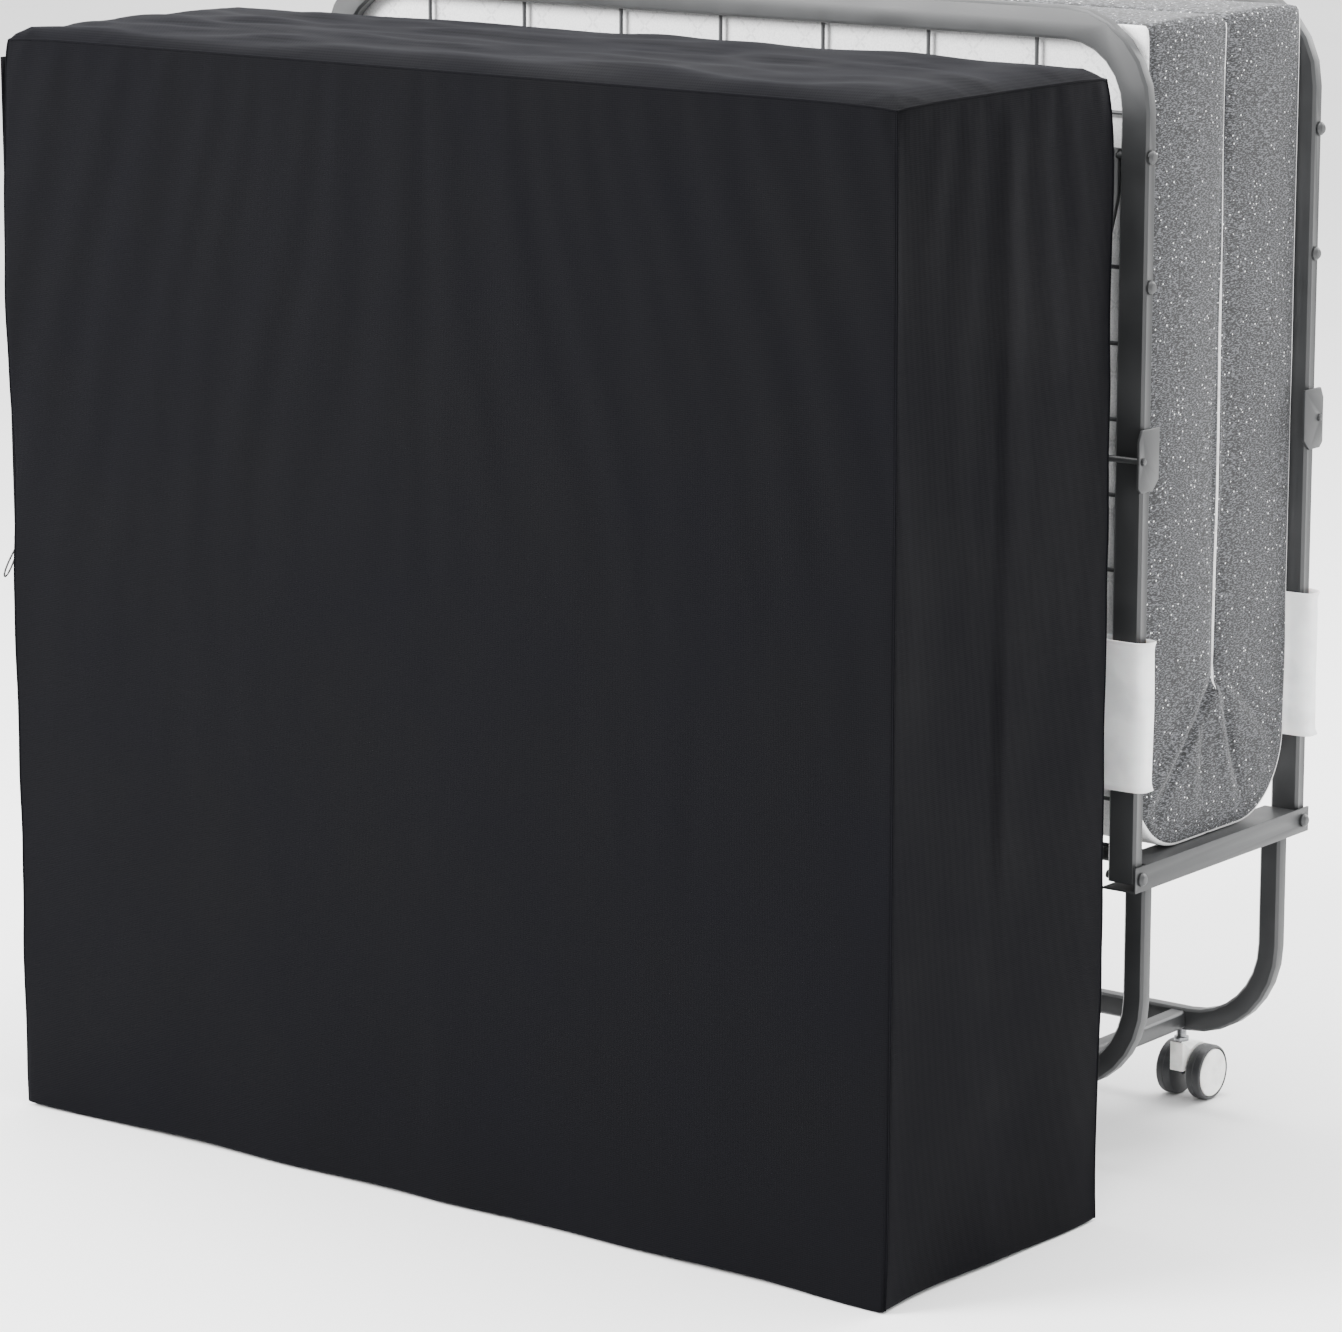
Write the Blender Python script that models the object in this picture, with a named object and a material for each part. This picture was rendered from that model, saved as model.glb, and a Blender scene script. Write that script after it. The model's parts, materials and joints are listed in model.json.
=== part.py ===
"""Folding rollaway bed on casters, with its zipped storage cover standing in front of it.

Metres, +Z up, +X to the bed's right, -Y to its front. The bed is folded: its two halves stand upright on
a wheeled base, with the mattress doubled between them. The origin is on the floor, midway between the
front of the cover and the rear of the bed.
"""
import math

import bmesh
import bpy
from mathutils import Matrix, Vector

# Overall sizes
FRAME_WIDTH = 0.985          # across the outer faces of the side rails
PIVOT_SPACING = 0.290        # front pivots to rear pivots
PIVOT_HEIGHT = 0.297
HALF_LENGTH = 0.800          # pivots to the outer edge of the end tube
CLEARANCE = 0.0003           # between pieces that touch
RUNNING_CLEARANCE = 0.0005   # round shanks and stems

# Side tubes of the halves
SIDE_TUBE_WIDTH = 0.030
SIDE_TUBE_DEPTH = 0.015
TUBE_WALL = 0.0015
TUBE_CORNER = 0.0025
LOOP_CORNER_RADIUS = 0.076
TUBE_FOOT = 0.0045           # how far a side tube runs past its pivot

# Side rails
RAIL_HEIGHT = 0.024
RAIL_WIDTH = 0.036
RAIL_WALL = 0.002
RAIL_OVERHANG = 0.010        # past the pivot
RAIL_GAP = 0.001             # web to side tube
RAIL_NOTCH = 0.012           # top flange cut back inboard of the pivot

# Wheeled base
LEG_WIDTH = 0.022
LEG_DEPTH = 0.016
LEG_INSET = 0.024            # inboard of the pivot
LEG_BEND_RADIUS = 0.090
LEG_OVER_WHEELS = 0.019      # top of the wheels to the legs' underside
TIE_TUBE_SIZE = 0.018
BASE_BAR_INSET = 0.060
BASE_BAR_HEIGHT = 0.012
BASE_BAR_DEPTH = 0.014

# Casters
CASTER_SETBACK = 0.1175      # inboard of the side rails' outer faces
CASTER_TRAIL = 0.020
WHEEL_RADIUS = 0.0275
WHEEL_WIDTH = 0.017
WHEEL_GAP = 0.017            # between the two wheels of a caster
AXLE_RADIUS = 0.004
STEM_RADIUS = 0.005
STEM_REACH = 0.014           # into the leg tube
STEM_FLANGE_RADIUS = 0.0075
STEM_FLANGE_HEIGHT = 0.004
STEM_POINT = 0.002           # tapered tip
HOOD_GAP = 0.001             # hood to wheel, each side
HOOD_OVER_WHEELS = 0.006     # top of the wheels to the hood's top
HOOD_FRONT = 0.009           # ahead of the stem's middle
HOOD_SKIRT = 0.004           # above the axle
WHEEL_EDGE = 0.003
HUB_RECESS = 0.002
HUB_RIM = 0.005

# Wire deck
WIRE = 0.004
WIRE_PITCH = 0.070
FIRST_WIRE = 0.286           # above the pivots
LOWEST_WIRE = 0.070
LONG_WIRES = 7
LONG_WIRE_MARGIN = 0.1325    # outermost wires to the side rails' outer faces

# End legs, folded flat in the plane of each half
END_LEG_SETBACK = 0.131      # end of the half to the end leg's pivot
END_LEG_WIDTH = 0.020
END_LEG_DEPTH = 0.010
END_LEG_SHORTFALL = 0.003    # so much shorter than the pivots' height
END_LEG_TAPER = 0.042        # each arm leans in by this much
END_LEG_GAP = 0.003          # side tube to arm
END_LEG_BEND_RADIUS = 0.035
END_LEG_HEAD = 0.006         # arm's end above its bolt
END_LEG_KNEE = 0.035         # below the bolt, where the arm starts to lean in
END_LEG_ANKLE = 0.020        # above the foot's bend
END_LEG_BORE_GAP = 0.0003    # round the bolt

# Bolts and saddle brackets
BOLT_RADIUS = 0.004
BOLT_HEAD_RADIUS = 0.0065
BOLT_HEAD_HEIGHT = 0.0045
BOLT_CROWN = 0.6             # share of the head's radius that is flat
PIVOT_BOLT_END = 0.004       # shank past the side tube
LEG_BOLT_END = 0.003         # shank past the end leg's arm
DECK_BOLT_END = 0.001
DECK_BOLT_SETBACK = 0.249    # from the end of the half
SADDLE_SETBACK = 0.407
SADDLE_HEIGHT = 0.058
SADDLE_REACH = 0.009         # past the side tube, over the mattress edge
SADDLE_CHAMFER = 0.010
SADDLE_WALL = 0.003
PIN_RADIUS = 0.003
PIN_HEAD_RADIUS = 0.0048
PIN_LENGTH = 0.045
PIN_HEAD_HEIGHT = 0.007
PIN_END = 0.002              # outside the plate
SADDLE_LIP = 0.004           # past the pin

# Mattress, sleeves
MATTRESS_MARGIN = 0.018      # mattress edge to the side rails' outer faces
MATTRESS_SETBACK = 0.015     # from the end of the half
MATTRESS_SPLIT = 0.105       # height of the doubled fold above the pivots
MATTRESS_SLIT = 0.003        # between the two halves
MATTRESS_EDGE_RADIUS = 0.016
FOLD_RADIUS = 0.080
SLEEVE_BOTTOM = 0.085
SLEEVE_LENGTH = 0.140
SLEEVE_WALL = 0.002

# Storage cover
COVER_SIDE_EASE = 0.0245     # wider than the frame, each side
COVER_DEPTH_EASE = 0.025     # deeper than the folded side tubes
COVER_HEIGHT = 1.050
COVER_WALL = 0.003
COVER_HEM = 0.002            # above the floor
COVER_GAP = 0.100            # cover to the front side tubes
ZIP_TAPE_GAP = 0.0015        # room for the zip's tape under its slider
ZIP_INSET = 0.010            # behind the cover's front face
ZIP_SLIDER_HEIGHT = 0.553
ZIP_SLIDER_WIDTH = 0.012
ZIP_SLIDER_THICKNESS = 0.003
ZIP_BODY_LENGTH = 0.016
ZIP_PULL_LENGTH = 0.032
ZIP_PULL_WIDTH = 0.007

ROUND_STEPS = 20
SMALL_ROUND_STEPS = 12
BEND_STEPS = 6
OVERCUT = 0.002              # cutters run past the faces they cut

# Places that follow from the sizes
PIVOT_Y = PIVOT_SPACING / 2
LEG_UNDERSIDE = 2 * WHEEL_RADIUS + LEG_OVER_WHEELS
CASTER_X = FRAME_WIDTH / 2 - CASTER_SETBACK
LONG_WIRE_PITCH = (FRAME_WIDTH - 2 * LONG_WIRE_MARGIN) / (LONG_WIRES - 1)
END_LEG_PIVOT = HALF_LENGTH - END_LEG_SETBACK        # along the half from its pivot, like the next three
DECK_BOLT = HALF_LENGTH - DECK_BOLT_SETBACK
SADDLE = HALF_LENGTH - SADDLE_SETBACK
MATTRESS_TOP = HALF_LENGTH - MATTRESS_SETBACK
END_LEG_LENGTH = PIVOT_HEIGHT - END_LEG_SHORTFALL    # pivot to the sole
MATTRESS_WIDTH = FRAME_WIDTH - 2 * MATTRESS_MARGIN
COVER_WIDTH = FRAME_WIDTH + 2 * COVER_SIDE_EASE
COVER_DEPTH = PIVOT_SPACING + SIDE_TUBE_DEPTH + COVER_DEPTH_EASE
LEG_Y = PIVOT_Y - LEG_INSET
BED_FRONT = PIVOT_Y + SIDE_TUBE_DEPTH / 2
BED_REAR = LEG_Y + CASTER_TRAIL + WHEEL_RADIUS
TOTAL_DEPTH = COVER_DEPTH + COVER_GAP + BED_FRONT + BED_REAR
BED_Y = TOTAL_DEPTH / 2 - BED_REAR
COVER_FRONT = -TOTAL_DEPTH / 2
COVER_REAR = COVER_FRONT + COVER_DEPTH
WEB_INNER = FRAME_WIDTH / 2 - RAIL_WALL
TUBE_X = WEB_INNER - RAIL_GAP - SIDE_TUBE_WIDTH / 2
TUBE_INNER = TUBE_X - SIDE_TUBE_WIDTH / 2
TUBE_OUTER = TUBE_X + SIDE_TUBE_WIDTH / 2
RAIL_INNER = FRAME_WIDTH / 2 - RAIL_WIDTH
RAIL_TOP = PIVOT_HEIGHT + RAIL_HEIGHT / 2
RAIL_UNDERSIDE = PIVOT_HEIGHT - RAIL_HEIGHT / 2
END_LEG_X = TUBE_INNER - END_LEG_GAP - END_LEG_WIDTH / 2
END_LEG_Y = BED_FRONT - END_LEG_DEPTH / 2
DECK_OUTER = PIVOT_Y - SIDE_TUBE_DEPTH / 2 + WIRE
MATTRESS_OUTER = DECK_OUTER - WIRE - SLEEVE_WALL - 2 * CLEARANCE
MATTRESS_BOTTOM = RAIL_TOP + CLEARANCE
SPLIT_HEIGHT = PIVOT_HEIGHT + MATTRESS_SPLIT


def clear_scene():
    for item in list(bpy.data.objects):
        bpy.data.objects.remove(item, do_unlink=True)


def finish(name, colour, roughness, metallic=0.0):
    material = bpy.data.materials.new(name)
    material.use_nodes = True
    shader = material.node_tree.nodes["Principled BSDF"]
    shader.inputs["Base Color"].default_value = (*colour, 1.0)
    shader.inputs["Roughness"].default_value = roughness
    shader.inputs["Metallic"].default_value = metallic
    material.diffuse_color = (*colour, 1.0)
    return material


FINISHES = {
    "frame_paint": ((0.10, 0.10, 0.105), 0.45, 0.2),
    "deck_wire": ((0.13, 0.13, 0.135), 0.4, 0.3),
    "zinc_steel": ((0.45, 0.45, 0.46), 0.35, 1.0),
    "white_nylon": ((0.82, 0.82, 0.80), 0.4),
    "tyre_rubber": ((0.03, 0.03, 0.03), 0.6),
    "mattress_tweed": ((0.09, 0.09, 0.10), 0.95),
    "white_cotton": ((0.80, 0.80, 0.80), 0.9),
    "cover_fabric": ((0.012, 0.012, 0.016), 0.8),
}


def add_axis(name, place):
    axis = bpy.data.objects.new(name, None)
    axis.empty_display_size = 0.05
    axis.location = place
    bpy.context.scene.collection.objects.link(axis)
    return axis


def add_part(name, shape, finish_name, axis=None):
    """Turn a bmesh in world coordinates into a named part, hung on its joint's empty."""
    bmesh.ops.recalc_face_normals(shape, faces=shape.faces)
    mesh = bpy.data.meshes.new(name)
    shape.to_mesh(mesh)
    shape.free()
    part = bpy.data.objects.new(name, mesh)
    bpy.context.scene.collection.objects.link(part)
    mesh.materials.append(finish(name, *FINISHES[finish_name]))
    if axis:
        mesh.transform(Matrix.Translation(-world_place(axis)))
        part.parent = axis
    return part


def world_place(item):
    place = Vector(item.location)
    while item.parent:
        item = item.parent
        place += item.location
    return place


def cut(part, shape):
    """Cut a closed shape, given in world coordinates, out of a part."""
    bmesh.ops.recalc_face_normals(shape, faces=shape.faces)
    mesh = bpy.data.meshes.new(part.name + "_cutter")
    shape.to_mesh(mesh)
    shape.free()
    cutter = bpy.data.objects.new(part.name + "_cutter", mesh)
    bpy.context.scene.collection.objects.link(cutter)
    cutter.hide_render = True
    cutter.display_type = "WIRE"
    if part.parent:
        mesh.transform(Matrix.Translation(-world_place(part.parent)))
        cutter.parent = part.parent
    modifier = part.modifiers.new("cut", "BOOLEAN")
    modifier.operation = "DIFFERENCE"
    modifier.object = cutter


def soften(part, radius, segments):
    modifier = part.modifiers.new("soft_edges", "BEVEL")
    modifier.width = radius
    modifier.segments = segments
    modifier.limit_method = "ANGLE"


def block(low, high):
    shape = bmesh.new()
    centre = (Vector(low) + Vector(high)) / 2
    size = Vector(high) - Vector(low)
    matrix = Matrix.Translation(centre) @ Matrix.Diagonal((*size, 1.0))
    bmesh.ops.create_cube(shape, size=1.0, matrix=matrix)
    return shape


def turned(profile, centre, axis, steps):
    """Spin (radius, distance) points about an axis through centre; both end points lie on the axis."""
    axis = Vector(axis).normalized()
    side = axis.orthogonal().normalized()
    centre = Vector(centre)
    shape = bmesh.new()
    points = [shape.verts.new(centre + side * radius + axis * along) for radius, along in profile]
    edges = [shape.edges.new(pair) for pair in zip(points, points[1:])]
    bmesh.ops.spin(
        shape, geom=points + edges, cent=centre, axis=axis, angle=math.tau, steps=steps, use_merge=True
    )
    bmesh.ops.remove_doubles(shape, verts=shape.verts, dist=0.00001)
    return shape


def rod(radius, start, end, steps=SMALL_ROUND_STEPS):
    length = (Vector(end) - Vector(start)).length
    profile = [(0, 0), (radius, 0), (radius, length), (0, length)]
    return turned(profile, start, Vector(end) - Vector(start), steps)


def prism(outline, depth):
    """Fill a closed outline and extrude it along the vector depth."""
    shape = bmesh.new()
    face = shape.faces.new([shape.verts.new(point) for point in outline])
    grown = bmesh.ops.extrude_face_region(shape, geom=[face])
    moved = [item for item in grown["geom"] if isinstance(item, bmesh.types.BMVert)]
    bmesh.ops.translate(shape, verts=moved, vec=depth)
    return shape


def bent_path(corners, radius, steps=BEND_STEPS):
    """Points through the corners, with each inner corner rounded to the radius."""
    corners = [Vector(corner) for corner in corners]
    path = [corners[0]]
    for before, corner, after in zip(corners, corners[1:], corners[2:]):
        back = (before - corner).normalized()
        ahead = (after - corner).normalized()
        half = back.angle(ahead) / 2
        setback = radius / math.tan(half)
        centre = corner + (back + ahead).normalized() * radius / math.sin(half)
        start = corner + back * setback - centre
        end = corner + ahead * setback - centre
        turn = start.angle(end)
        for step in range(steps + 1):
            share = step / steps
            first = math.sin((1 - share) * turn) / math.sin(turn)
            second = math.sin(share * turn) / math.sin(turn)
            path.append(centre + start * first + end * second)
    return path + [corners[-1]]


def octagon(width, depth, corner):
    across, along = width / 2, depth / 2
    return [
        (across, -along + corner), (across, along - corner), (across - corner, along),
        (-across + corner, along), (-across, along - corner), (-across, -along + corner),
        (-across + corner, -along), (across - corner, -along),
    ]


def tube(path, facing, width, depth):
    """Hollow tube with open ends: width lies in the path's plane, depth along its normal, facing."""
    facing = Vector(facing)
    sections = [
        octagon(width, depth, TUBE_CORNER),
        octagon(width - 2 * TUBE_WALL, depth - 2 * TUBE_WALL, TUBE_CORNER - TUBE_WALL / 2),
    ]
    shape = bmesh.new()
    walls = [[], []]
    for index, point in enumerate(path):
        before = path[max(index - 1, 0)]
        after = path[min(index + 1, len(path) - 1)]
        side = facing.cross((after - before).normalized())
        for wall, section in zip(walls, sections):
            wall.append([shape.verts.new(point + side * u + facing * v) for u, v in section])
    corners = len(sections[0])
    for wall in walls:
        for ring, next_ring in zip(wall, wall[1:]):
            for a in range(corners):
                b = (a + 1) % corners
                shape.faces.new((ring[a], ring[b], next_ring[b], next_ring[a]))
    for end in (0, -1):
        outer, inner = walls[0][end], walls[1][end]
        for a in range(corners):
            b = (a + 1) % corners
            shape.faces.new((outer[a], outer[b], inner[b], inner[a]))
    return shape


def lattice(across, along, place):
    """Welded wire mesh: wires at the given middles, laid out by place(u, v, w) for w from 0 to WIRE."""
    def lines(middles):
        return sorted(middle + side for middle in middles for side in (-WIRE / 2, WIRE / 2))

    u_lines, v_lines = lines(across["at"]), lines(along["at"])
    u_lines = sorted(set(u_lines + list(along["span"])))
    v_lines = sorted(set(v_lines + list(across["span"])))

    def on_wire(middles, low, high):
        return any(abs((low + high) / 2 - middle) < WIRE / 2 for middle in middles)

    shape = bmesh.new()
    corners = [[shape.verts.new(place(u, v, 0.0)) for v in v_lines] for u in u_lines]
    faces = []
    for i, (u_low, u_high) in enumerate(zip(u_lines, u_lines[1:])):
        for k, (v_low, v_high) in enumerate(zip(v_lines, v_lines[1:])):
            if on_wire(across["at"], u_low, u_high) or on_wire(along["at"], v_low, v_high):
                quad = (corners[i][k], corners[i + 1][k], corners[i + 1][k + 1], corners[i][k + 1])
                faces.append(shape.faces.new(quad))
    loose = [vert for vert in shape.verts if not vert.link_faces]
    bmesh.ops.delete(shape, geom=loose, context="VERTS")
    grown = bmesh.ops.extrude_face_region(shape, geom=faces)
    moved = [item for item in grown["geom"] if isinstance(item, bmesh.types.BMVert)]
    bmesh.ops.translate(shape, verts=moved, vec=Vector(place(0, 0, WIRE)) - Vector(place(0, 0, 0)))
    return shape


def side_name(side):
    return "right" if side > 0 else "left"


# ---- wheeled base ----

def build_rails():
    rail_end = PIVOT_Y + RAIL_OVERHANG
    for side in (-1, 1):
        outer = FRAME_WIDTH / 2
        outline = [
            (outer, RAIL_UNDERSIDE), (outer, RAIL_TOP), (RAIL_INNER, RAIL_TOP),
            (RAIL_INNER, RAIL_TOP - RAIL_WALL), (WEB_INNER, RAIL_TOP - RAIL_WALL),
            (WEB_INNER, RAIL_UNDERSIDE + RAIL_WALL), (RAIL_INNER, RAIL_UNDERSIDE + RAIL_WALL),
            (RAIL_INNER, RAIL_UNDERSIDE),
        ]
        points = [(side * x, BED_Y - rail_end, z) for x, z in outline]
        rail = add_part(f"{side_name(side)}_rail", prism(points, (0, 2 * rail_end, 0)), "frame_paint")
        for end in (-1, 1):
            notch = sorted((BED_Y + end * (PIVOT_Y - RAIL_NOTCH), BED_Y + end * (rail_end + RAIL_WALL)))
            reach = sorted((side * (RAIL_INNER - OVERCUT), side * (WEB_INNER - CLEARANCE)))
            low, high = RAIL_TOP - RAIL_WALL - OVERCUT, RAIL_TOP + OVERCUT
            cut(rail, block((reach[0], notch[0], low), (reach[1], notch[1], high)))
            hole = (side * (WEB_INNER - RAIL_WALL), BED_Y + end * PIVOT_Y, PIVOT_HEIGHT)
            through = (side * (outer + RAIL_WALL), hole[1], hole[2])
            cut(rail, rod(BOLT_RADIUS + RUNNING_CLEARANCE, hole, through))


def build_base():
    top = RAIL_UNDERSIDE - CLEARANCE
    bottom = LEG_UNDERSIDE + LEG_WIDTH / 2
    for end, name in ((-1, "front"), (1, "rear")):
        y = BED_Y + end * LEG_Y
        corners = [(-TUBE_X, y, top), (-TUBE_X, y, bottom), (TUBE_X, y, bottom), (TUBE_X, y, top)]
        shape = tube(bent_path(corners, LEG_BEND_RADIUS, BEND_STEPS + 2), (0, 1, 0), LEG_WIDTH, LEG_DEPTH)
        leg = add_part(f"{name}_base_leg", shape, "frame_paint")
        for side in (-1, 1):
            low = (side * CASTER_X, y, LEG_UNDERSIDE - TUBE_WALL)
            high = (side * CASTER_X, y, LEG_UNDERSIDE + 2 * TUBE_WALL)
            cut(leg, rod(STEM_RADIUS + RUNNING_CLEARANCE, low, high))
    reach = LEG_Y - LEG_DEPTH / 2 - CLEARANCE
    for side in (-1, 1):
        path = [Vector((side * CASTER_X, BED_Y + end * reach, bottom)) for end in (-1, 1)]
        shape = tube(path, (0, 0, 1), TIE_TUBE_SIZE, TIE_TUBE_SIZE)
        add_part(f"{side_name(side)}_tie_tube", shape, "frame_paint")
    bar_top = MATTRESS_BOTTOM - WIRE - 3 * CLEARANCE
    bar_y = PIVOT_Y - BASE_BAR_INSET
    for end, name in ((-1, "front"), (1, "rear")):
        y = BED_Y + end * bar_y
        reach_x = RAIL_INNER - CLEARANCE
        path = [Vector((side * reach_x, y, bar_top - BASE_BAR_HEIGHT / 2)) for side in (-1, 1)]
        shape = tube(path, (0, 0, 1), BASE_BAR_DEPTH, BASE_BAR_HEIGHT)
        add_part(f"{name}_base_bar", shape, "frame_paint")
    reach_y = bar_y + BASE_BAR_DEPTH / 2
    longs = [LONG_WIRE_PITCH * (index - (LONG_WIRES - 1) / 2) for index in range(LONG_WIRES)]
    shape = lattice(
        {"at": longs, "span": (-reach_y, reach_y)},
        {"at": (-bar_y, bar_y), "span": (-RAIL_INNER + CLEARANCE, RAIL_INNER - CLEARANCE)},
        lambda u, v, w: (u, BED_Y + v, bar_top + CLEARANCE + w),
    )
    add_part("base_deck", shape, "deck_wire")


def build_bolt(name, side, y, z, inner_x, seat_x, axis):
    """A button-head bolt along X: head outboard on seat_x, shank in to inner_x."""
    reach = seat_x + BOLT_HEAD_HEIGHT + CLEARANCE - inner_x
    shoulder = seat_x + CLEARANCE - inner_x
    profile = [
        (0, 0), (BOLT_RADIUS, 0), (BOLT_RADIUS, shoulder), (BOLT_HEAD_RADIUS, shoulder),
        (BOLT_HEAD_RADIUS, shoulder + BOLT_HEAD_HEIGHT * (1 - BOLT_CROWN)),
        (BOLT_HEAD_RADIUS * BOLT_CROWN, reach), (0, reach),
    ]
    shape = turned(profile, (side * inner_x, y, z), (side, 0, 0), SMALL_ROUND_STEPS)
    return add_part(name, shape, "zinc_steel", axis)


def build_pivot_bolts():
    for end, name in ((-1, "front"), (1, "rear")):
        for side in (-1, 1):
            title = f"{name}_{side_name(side)}_pivot_bolt"
            y, inner = BED_Y + end * PIVOT_Y, TUBE_INNER - PIVOT_BOLT_END
            build_bolt(title, side, y, PIVOT_HEIGHT, inner, FRAME_WIDTH / 2, None)


def build_caster(end, side, name):
    """A swivelling hood on a stem, and a pair of wheels on one axle, trailing rearwards."""
    y = BED_Y + end * LEG_Y
    x = side * CASTER_X
    wheel_y = y + CASTER_TRAIL
    swivel = add_axis(f"{name}_swivel_axis", (x, y, WHEEL_RADIUS))
    half_gap = WHEEL_GAP / 2
    hood_half = half_gap - HOOD_GAP
    collar = WHEEL_RADIUS * 2 + HOOD_OVER_WHEELS
    hood_radius = WHEEL_RADIUS + HOOD_GAP
    steps = SMALL_ROUND_STEPS
    outline = [
        (wheel_y + hood_radius * math.cos(turn), WHEEL_RADIUS + hood_radius * math.sin(turn))
        for turn in (math.pi * step / steps for step in range(steps + 1))
    ]
    outline = [(py, pz) for py, pz in outline if py >= y]
    outline += [(y - HOOD_FRONT, collar), (y - HOOD_FRONT, WHEEL_RADIUS + HOOD_SKIRT)]
    points = [(x - hood_half, py, pz) for py, pz in outline]
    hood = add_part(f"{name}_hood", prism(points, (2 * hood_half, 0, 0)), "white_nylon", swivel)
    bore = AXLE_RADIUS + RUNNING_CLEARANCE
    cut(hood, rod(bore, (x - WHEEL_GAP, wheel_y, WHEEL_RADIUS), (x + WHEEL_GAP, wheel_y, WHEEL_RADIUS)))
    stem_top = LEG_UNDERSIDE + STEM_REACH
    base = collar + CLEARANCE
    flange = base + STEM_FLANGE_HEIGHT
    profile = [
        (0, base), (STEM_FLANGE_RADIUS, base), (STEM_FLANGE_RADIUS, flange), (STEM_RADIUS, flange),
        (STEM_RADIUS, stem_top - STEM_POINT), (STEM_RADIUS - STEM_POINT / 2, stem_top), (0, stem_top),
    ]
    add_part(f"{name}_stem", turned(profile, (x, y, 0), (0, 0, 1), SMALL_ROUND_STEPS), "zinc_steel", swivel)
    spin = add_axis(f"{name}_wheel_axis", (0, CASTER_TRAIL, 0))
    spin.parent = swivel
    face = half_gap + WHEEL_WIDTH
    hub = WHEEL_RADIUS - HUB_RIM
    profile = [
        (0, -face + HUB_RECESS), (hub - HUB_RECESS / 2, -face + HUB_RECESS), (hub, -face),
        (WHEEL_RADIUS - WHEEL_EDGE, -face), (WHEEL_RADIUS, -face + WHEEL_EDGE),
        (WHEEL_RADIUS, -half_gap - WHEEL_EDGE), (WHEEL_RADIUS - WHEEL_EDGE, -half_gap),
        (AXLE_RADIUS, -half_gap),
    ]
    profile += [(radius, -along) for radius, along in reversed(profile)]
    shape = turned(profile, (x, wheel_y, WHEEL_RADIUS), (1, 0, 0), ROUND_STEPS)
    add_part(f"{name}_wheels", shape, "tyre_rubber", spin)


# ---- folding halves ----

def build_half(end, name):
    """The tube loop, wire deck, end leg, brackets, sleeves and mattress slab of one half."""
    axis = add_axis(f"{name}_half_axis", (0, BED_Y + end * PIVOT_Y, PIVOT_HEIGHT))
    y = BED_Y + end * PIVOT_Y
    foot, top = PIVOT_HEIGHT - TUBE_FOOT, PIVOT_HEIGHT + HALF_LENGTH - SIDE_TUBE_WIDTH / 2
    corners = [(-TUBE_X, y, foot), (-TUBE_X, y, top), (TUBE_X, y, top), (TUBE_X, y, foot)]
    shape = tube(bent_path(corners, LOOP_CORNER_RADIUS), (0, 1, 0), SIDE_TUBE_WIDTH, SIDE_TUBE_DEPTH)
    loop = add_part(f"{name}_loop", shape, "frame_paint", axis)
    leg_y = BED_Y + end * END_LEG_Y
    leg_height = PIVOT_HEIGHT + END_LEG_PIVOT
    deck_bolt_height = PIVOT_HEIGHT + DECK_BOLT
    for side in (-1, 1):
        for height, depth in ((PIVOT_HEIGHT, y), (leg_height, leg_y), (deck_bolt_height, y)):
            start = (side * (TUBE_INNER - OVERCUT), depth, height)
            through = (side * (TUBE_OUTER + OVERCUT), depth, height)
            cut(loop, rod(BOLT_RADIUS + RUNNING_CLEARANCE, start, through))

    build_half_deck(end, name, axis)
    build_end_leg(end, name, axis, leg_y, leg_height)
    for side in (-1, 1):
        place = f"{name}_{side_name(side)}"
        inner = END_LEG_X - END_LEG_WIDTH / 2 - LEG_BOLT_END
        build_bolt(f"{place}_leg_bolt", side, leg_y, leg_height, inner, TUBE_OUTER, axis)
        inner = TUBE_INNER - DECK_BOLT_END
        build_bolt(f"{place}_deck_bolt", side, y, deck_bolt_height, inner, TUBE_OUTER, axis)
        build_saddle(end, side, place, axis)
        build_sleeve(y, side, place, axis)
    edges = sorted((BED_Y + end * MATTRESS_SLIT / 2, BED_Y + end * MATTRESS_OUTER))
    slab_top = PIVOT_HEIGHT + MATTRESS_TOP
    low = (-MATTRESS_WIDTH / 2, edges[0], SPLIT_HEIGHT + MATTRESS_SLIT / 2)
    high = (MATTRESS_WIDTH / 2, edges[1], slab_top)
    slab = add_part(f"{name}_mattress", block(low, high), "mattress_tweed", axis)
    soften(slab, MATTRESS_EDGE_RADIUS, 2)


def build_half_deck(end, name, axis):
    heights = [PIVOT_HEIGHT + LOWEST_WIRE]
    straight = HALF_LENGTH - SIDE_TUBE_WIDTH / 2 - LOOP_CORNER_RADIUS - WIRE / 2
    wire_count = int((straight - FIRST_WIRE) / WIRE_PITCH) + 1
    heights += [PIVOT_HEIGHT + FIRST_WIRE + WIRE_PITCH * index for index in range(wire_count)]
    longs = [LONG_WIRE_PITCH * (index - (LONG_WIRES - 1) / 2) for index in range(LONG_WIRES)]
    reach = TUBE_INNER - CLEARANCE
    top = PIVOT_HEIGHT + HALF_LENGTH - SIDE_TUBE_WIDTH - CLEARANCE
    outer = BED_Y + end * DECK_OUTER
    shape = lattice(
        {"at": longs, "span": (heights[0] - WIRE_PITCH / 4, top)},
        {"at": heights, "span": (-reach, reach)},
        lambda u, v, w: (u, outer - end * w, v),
    )
    add_part(f"{name}_deck", shape, "deck_wire", axis)


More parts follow.
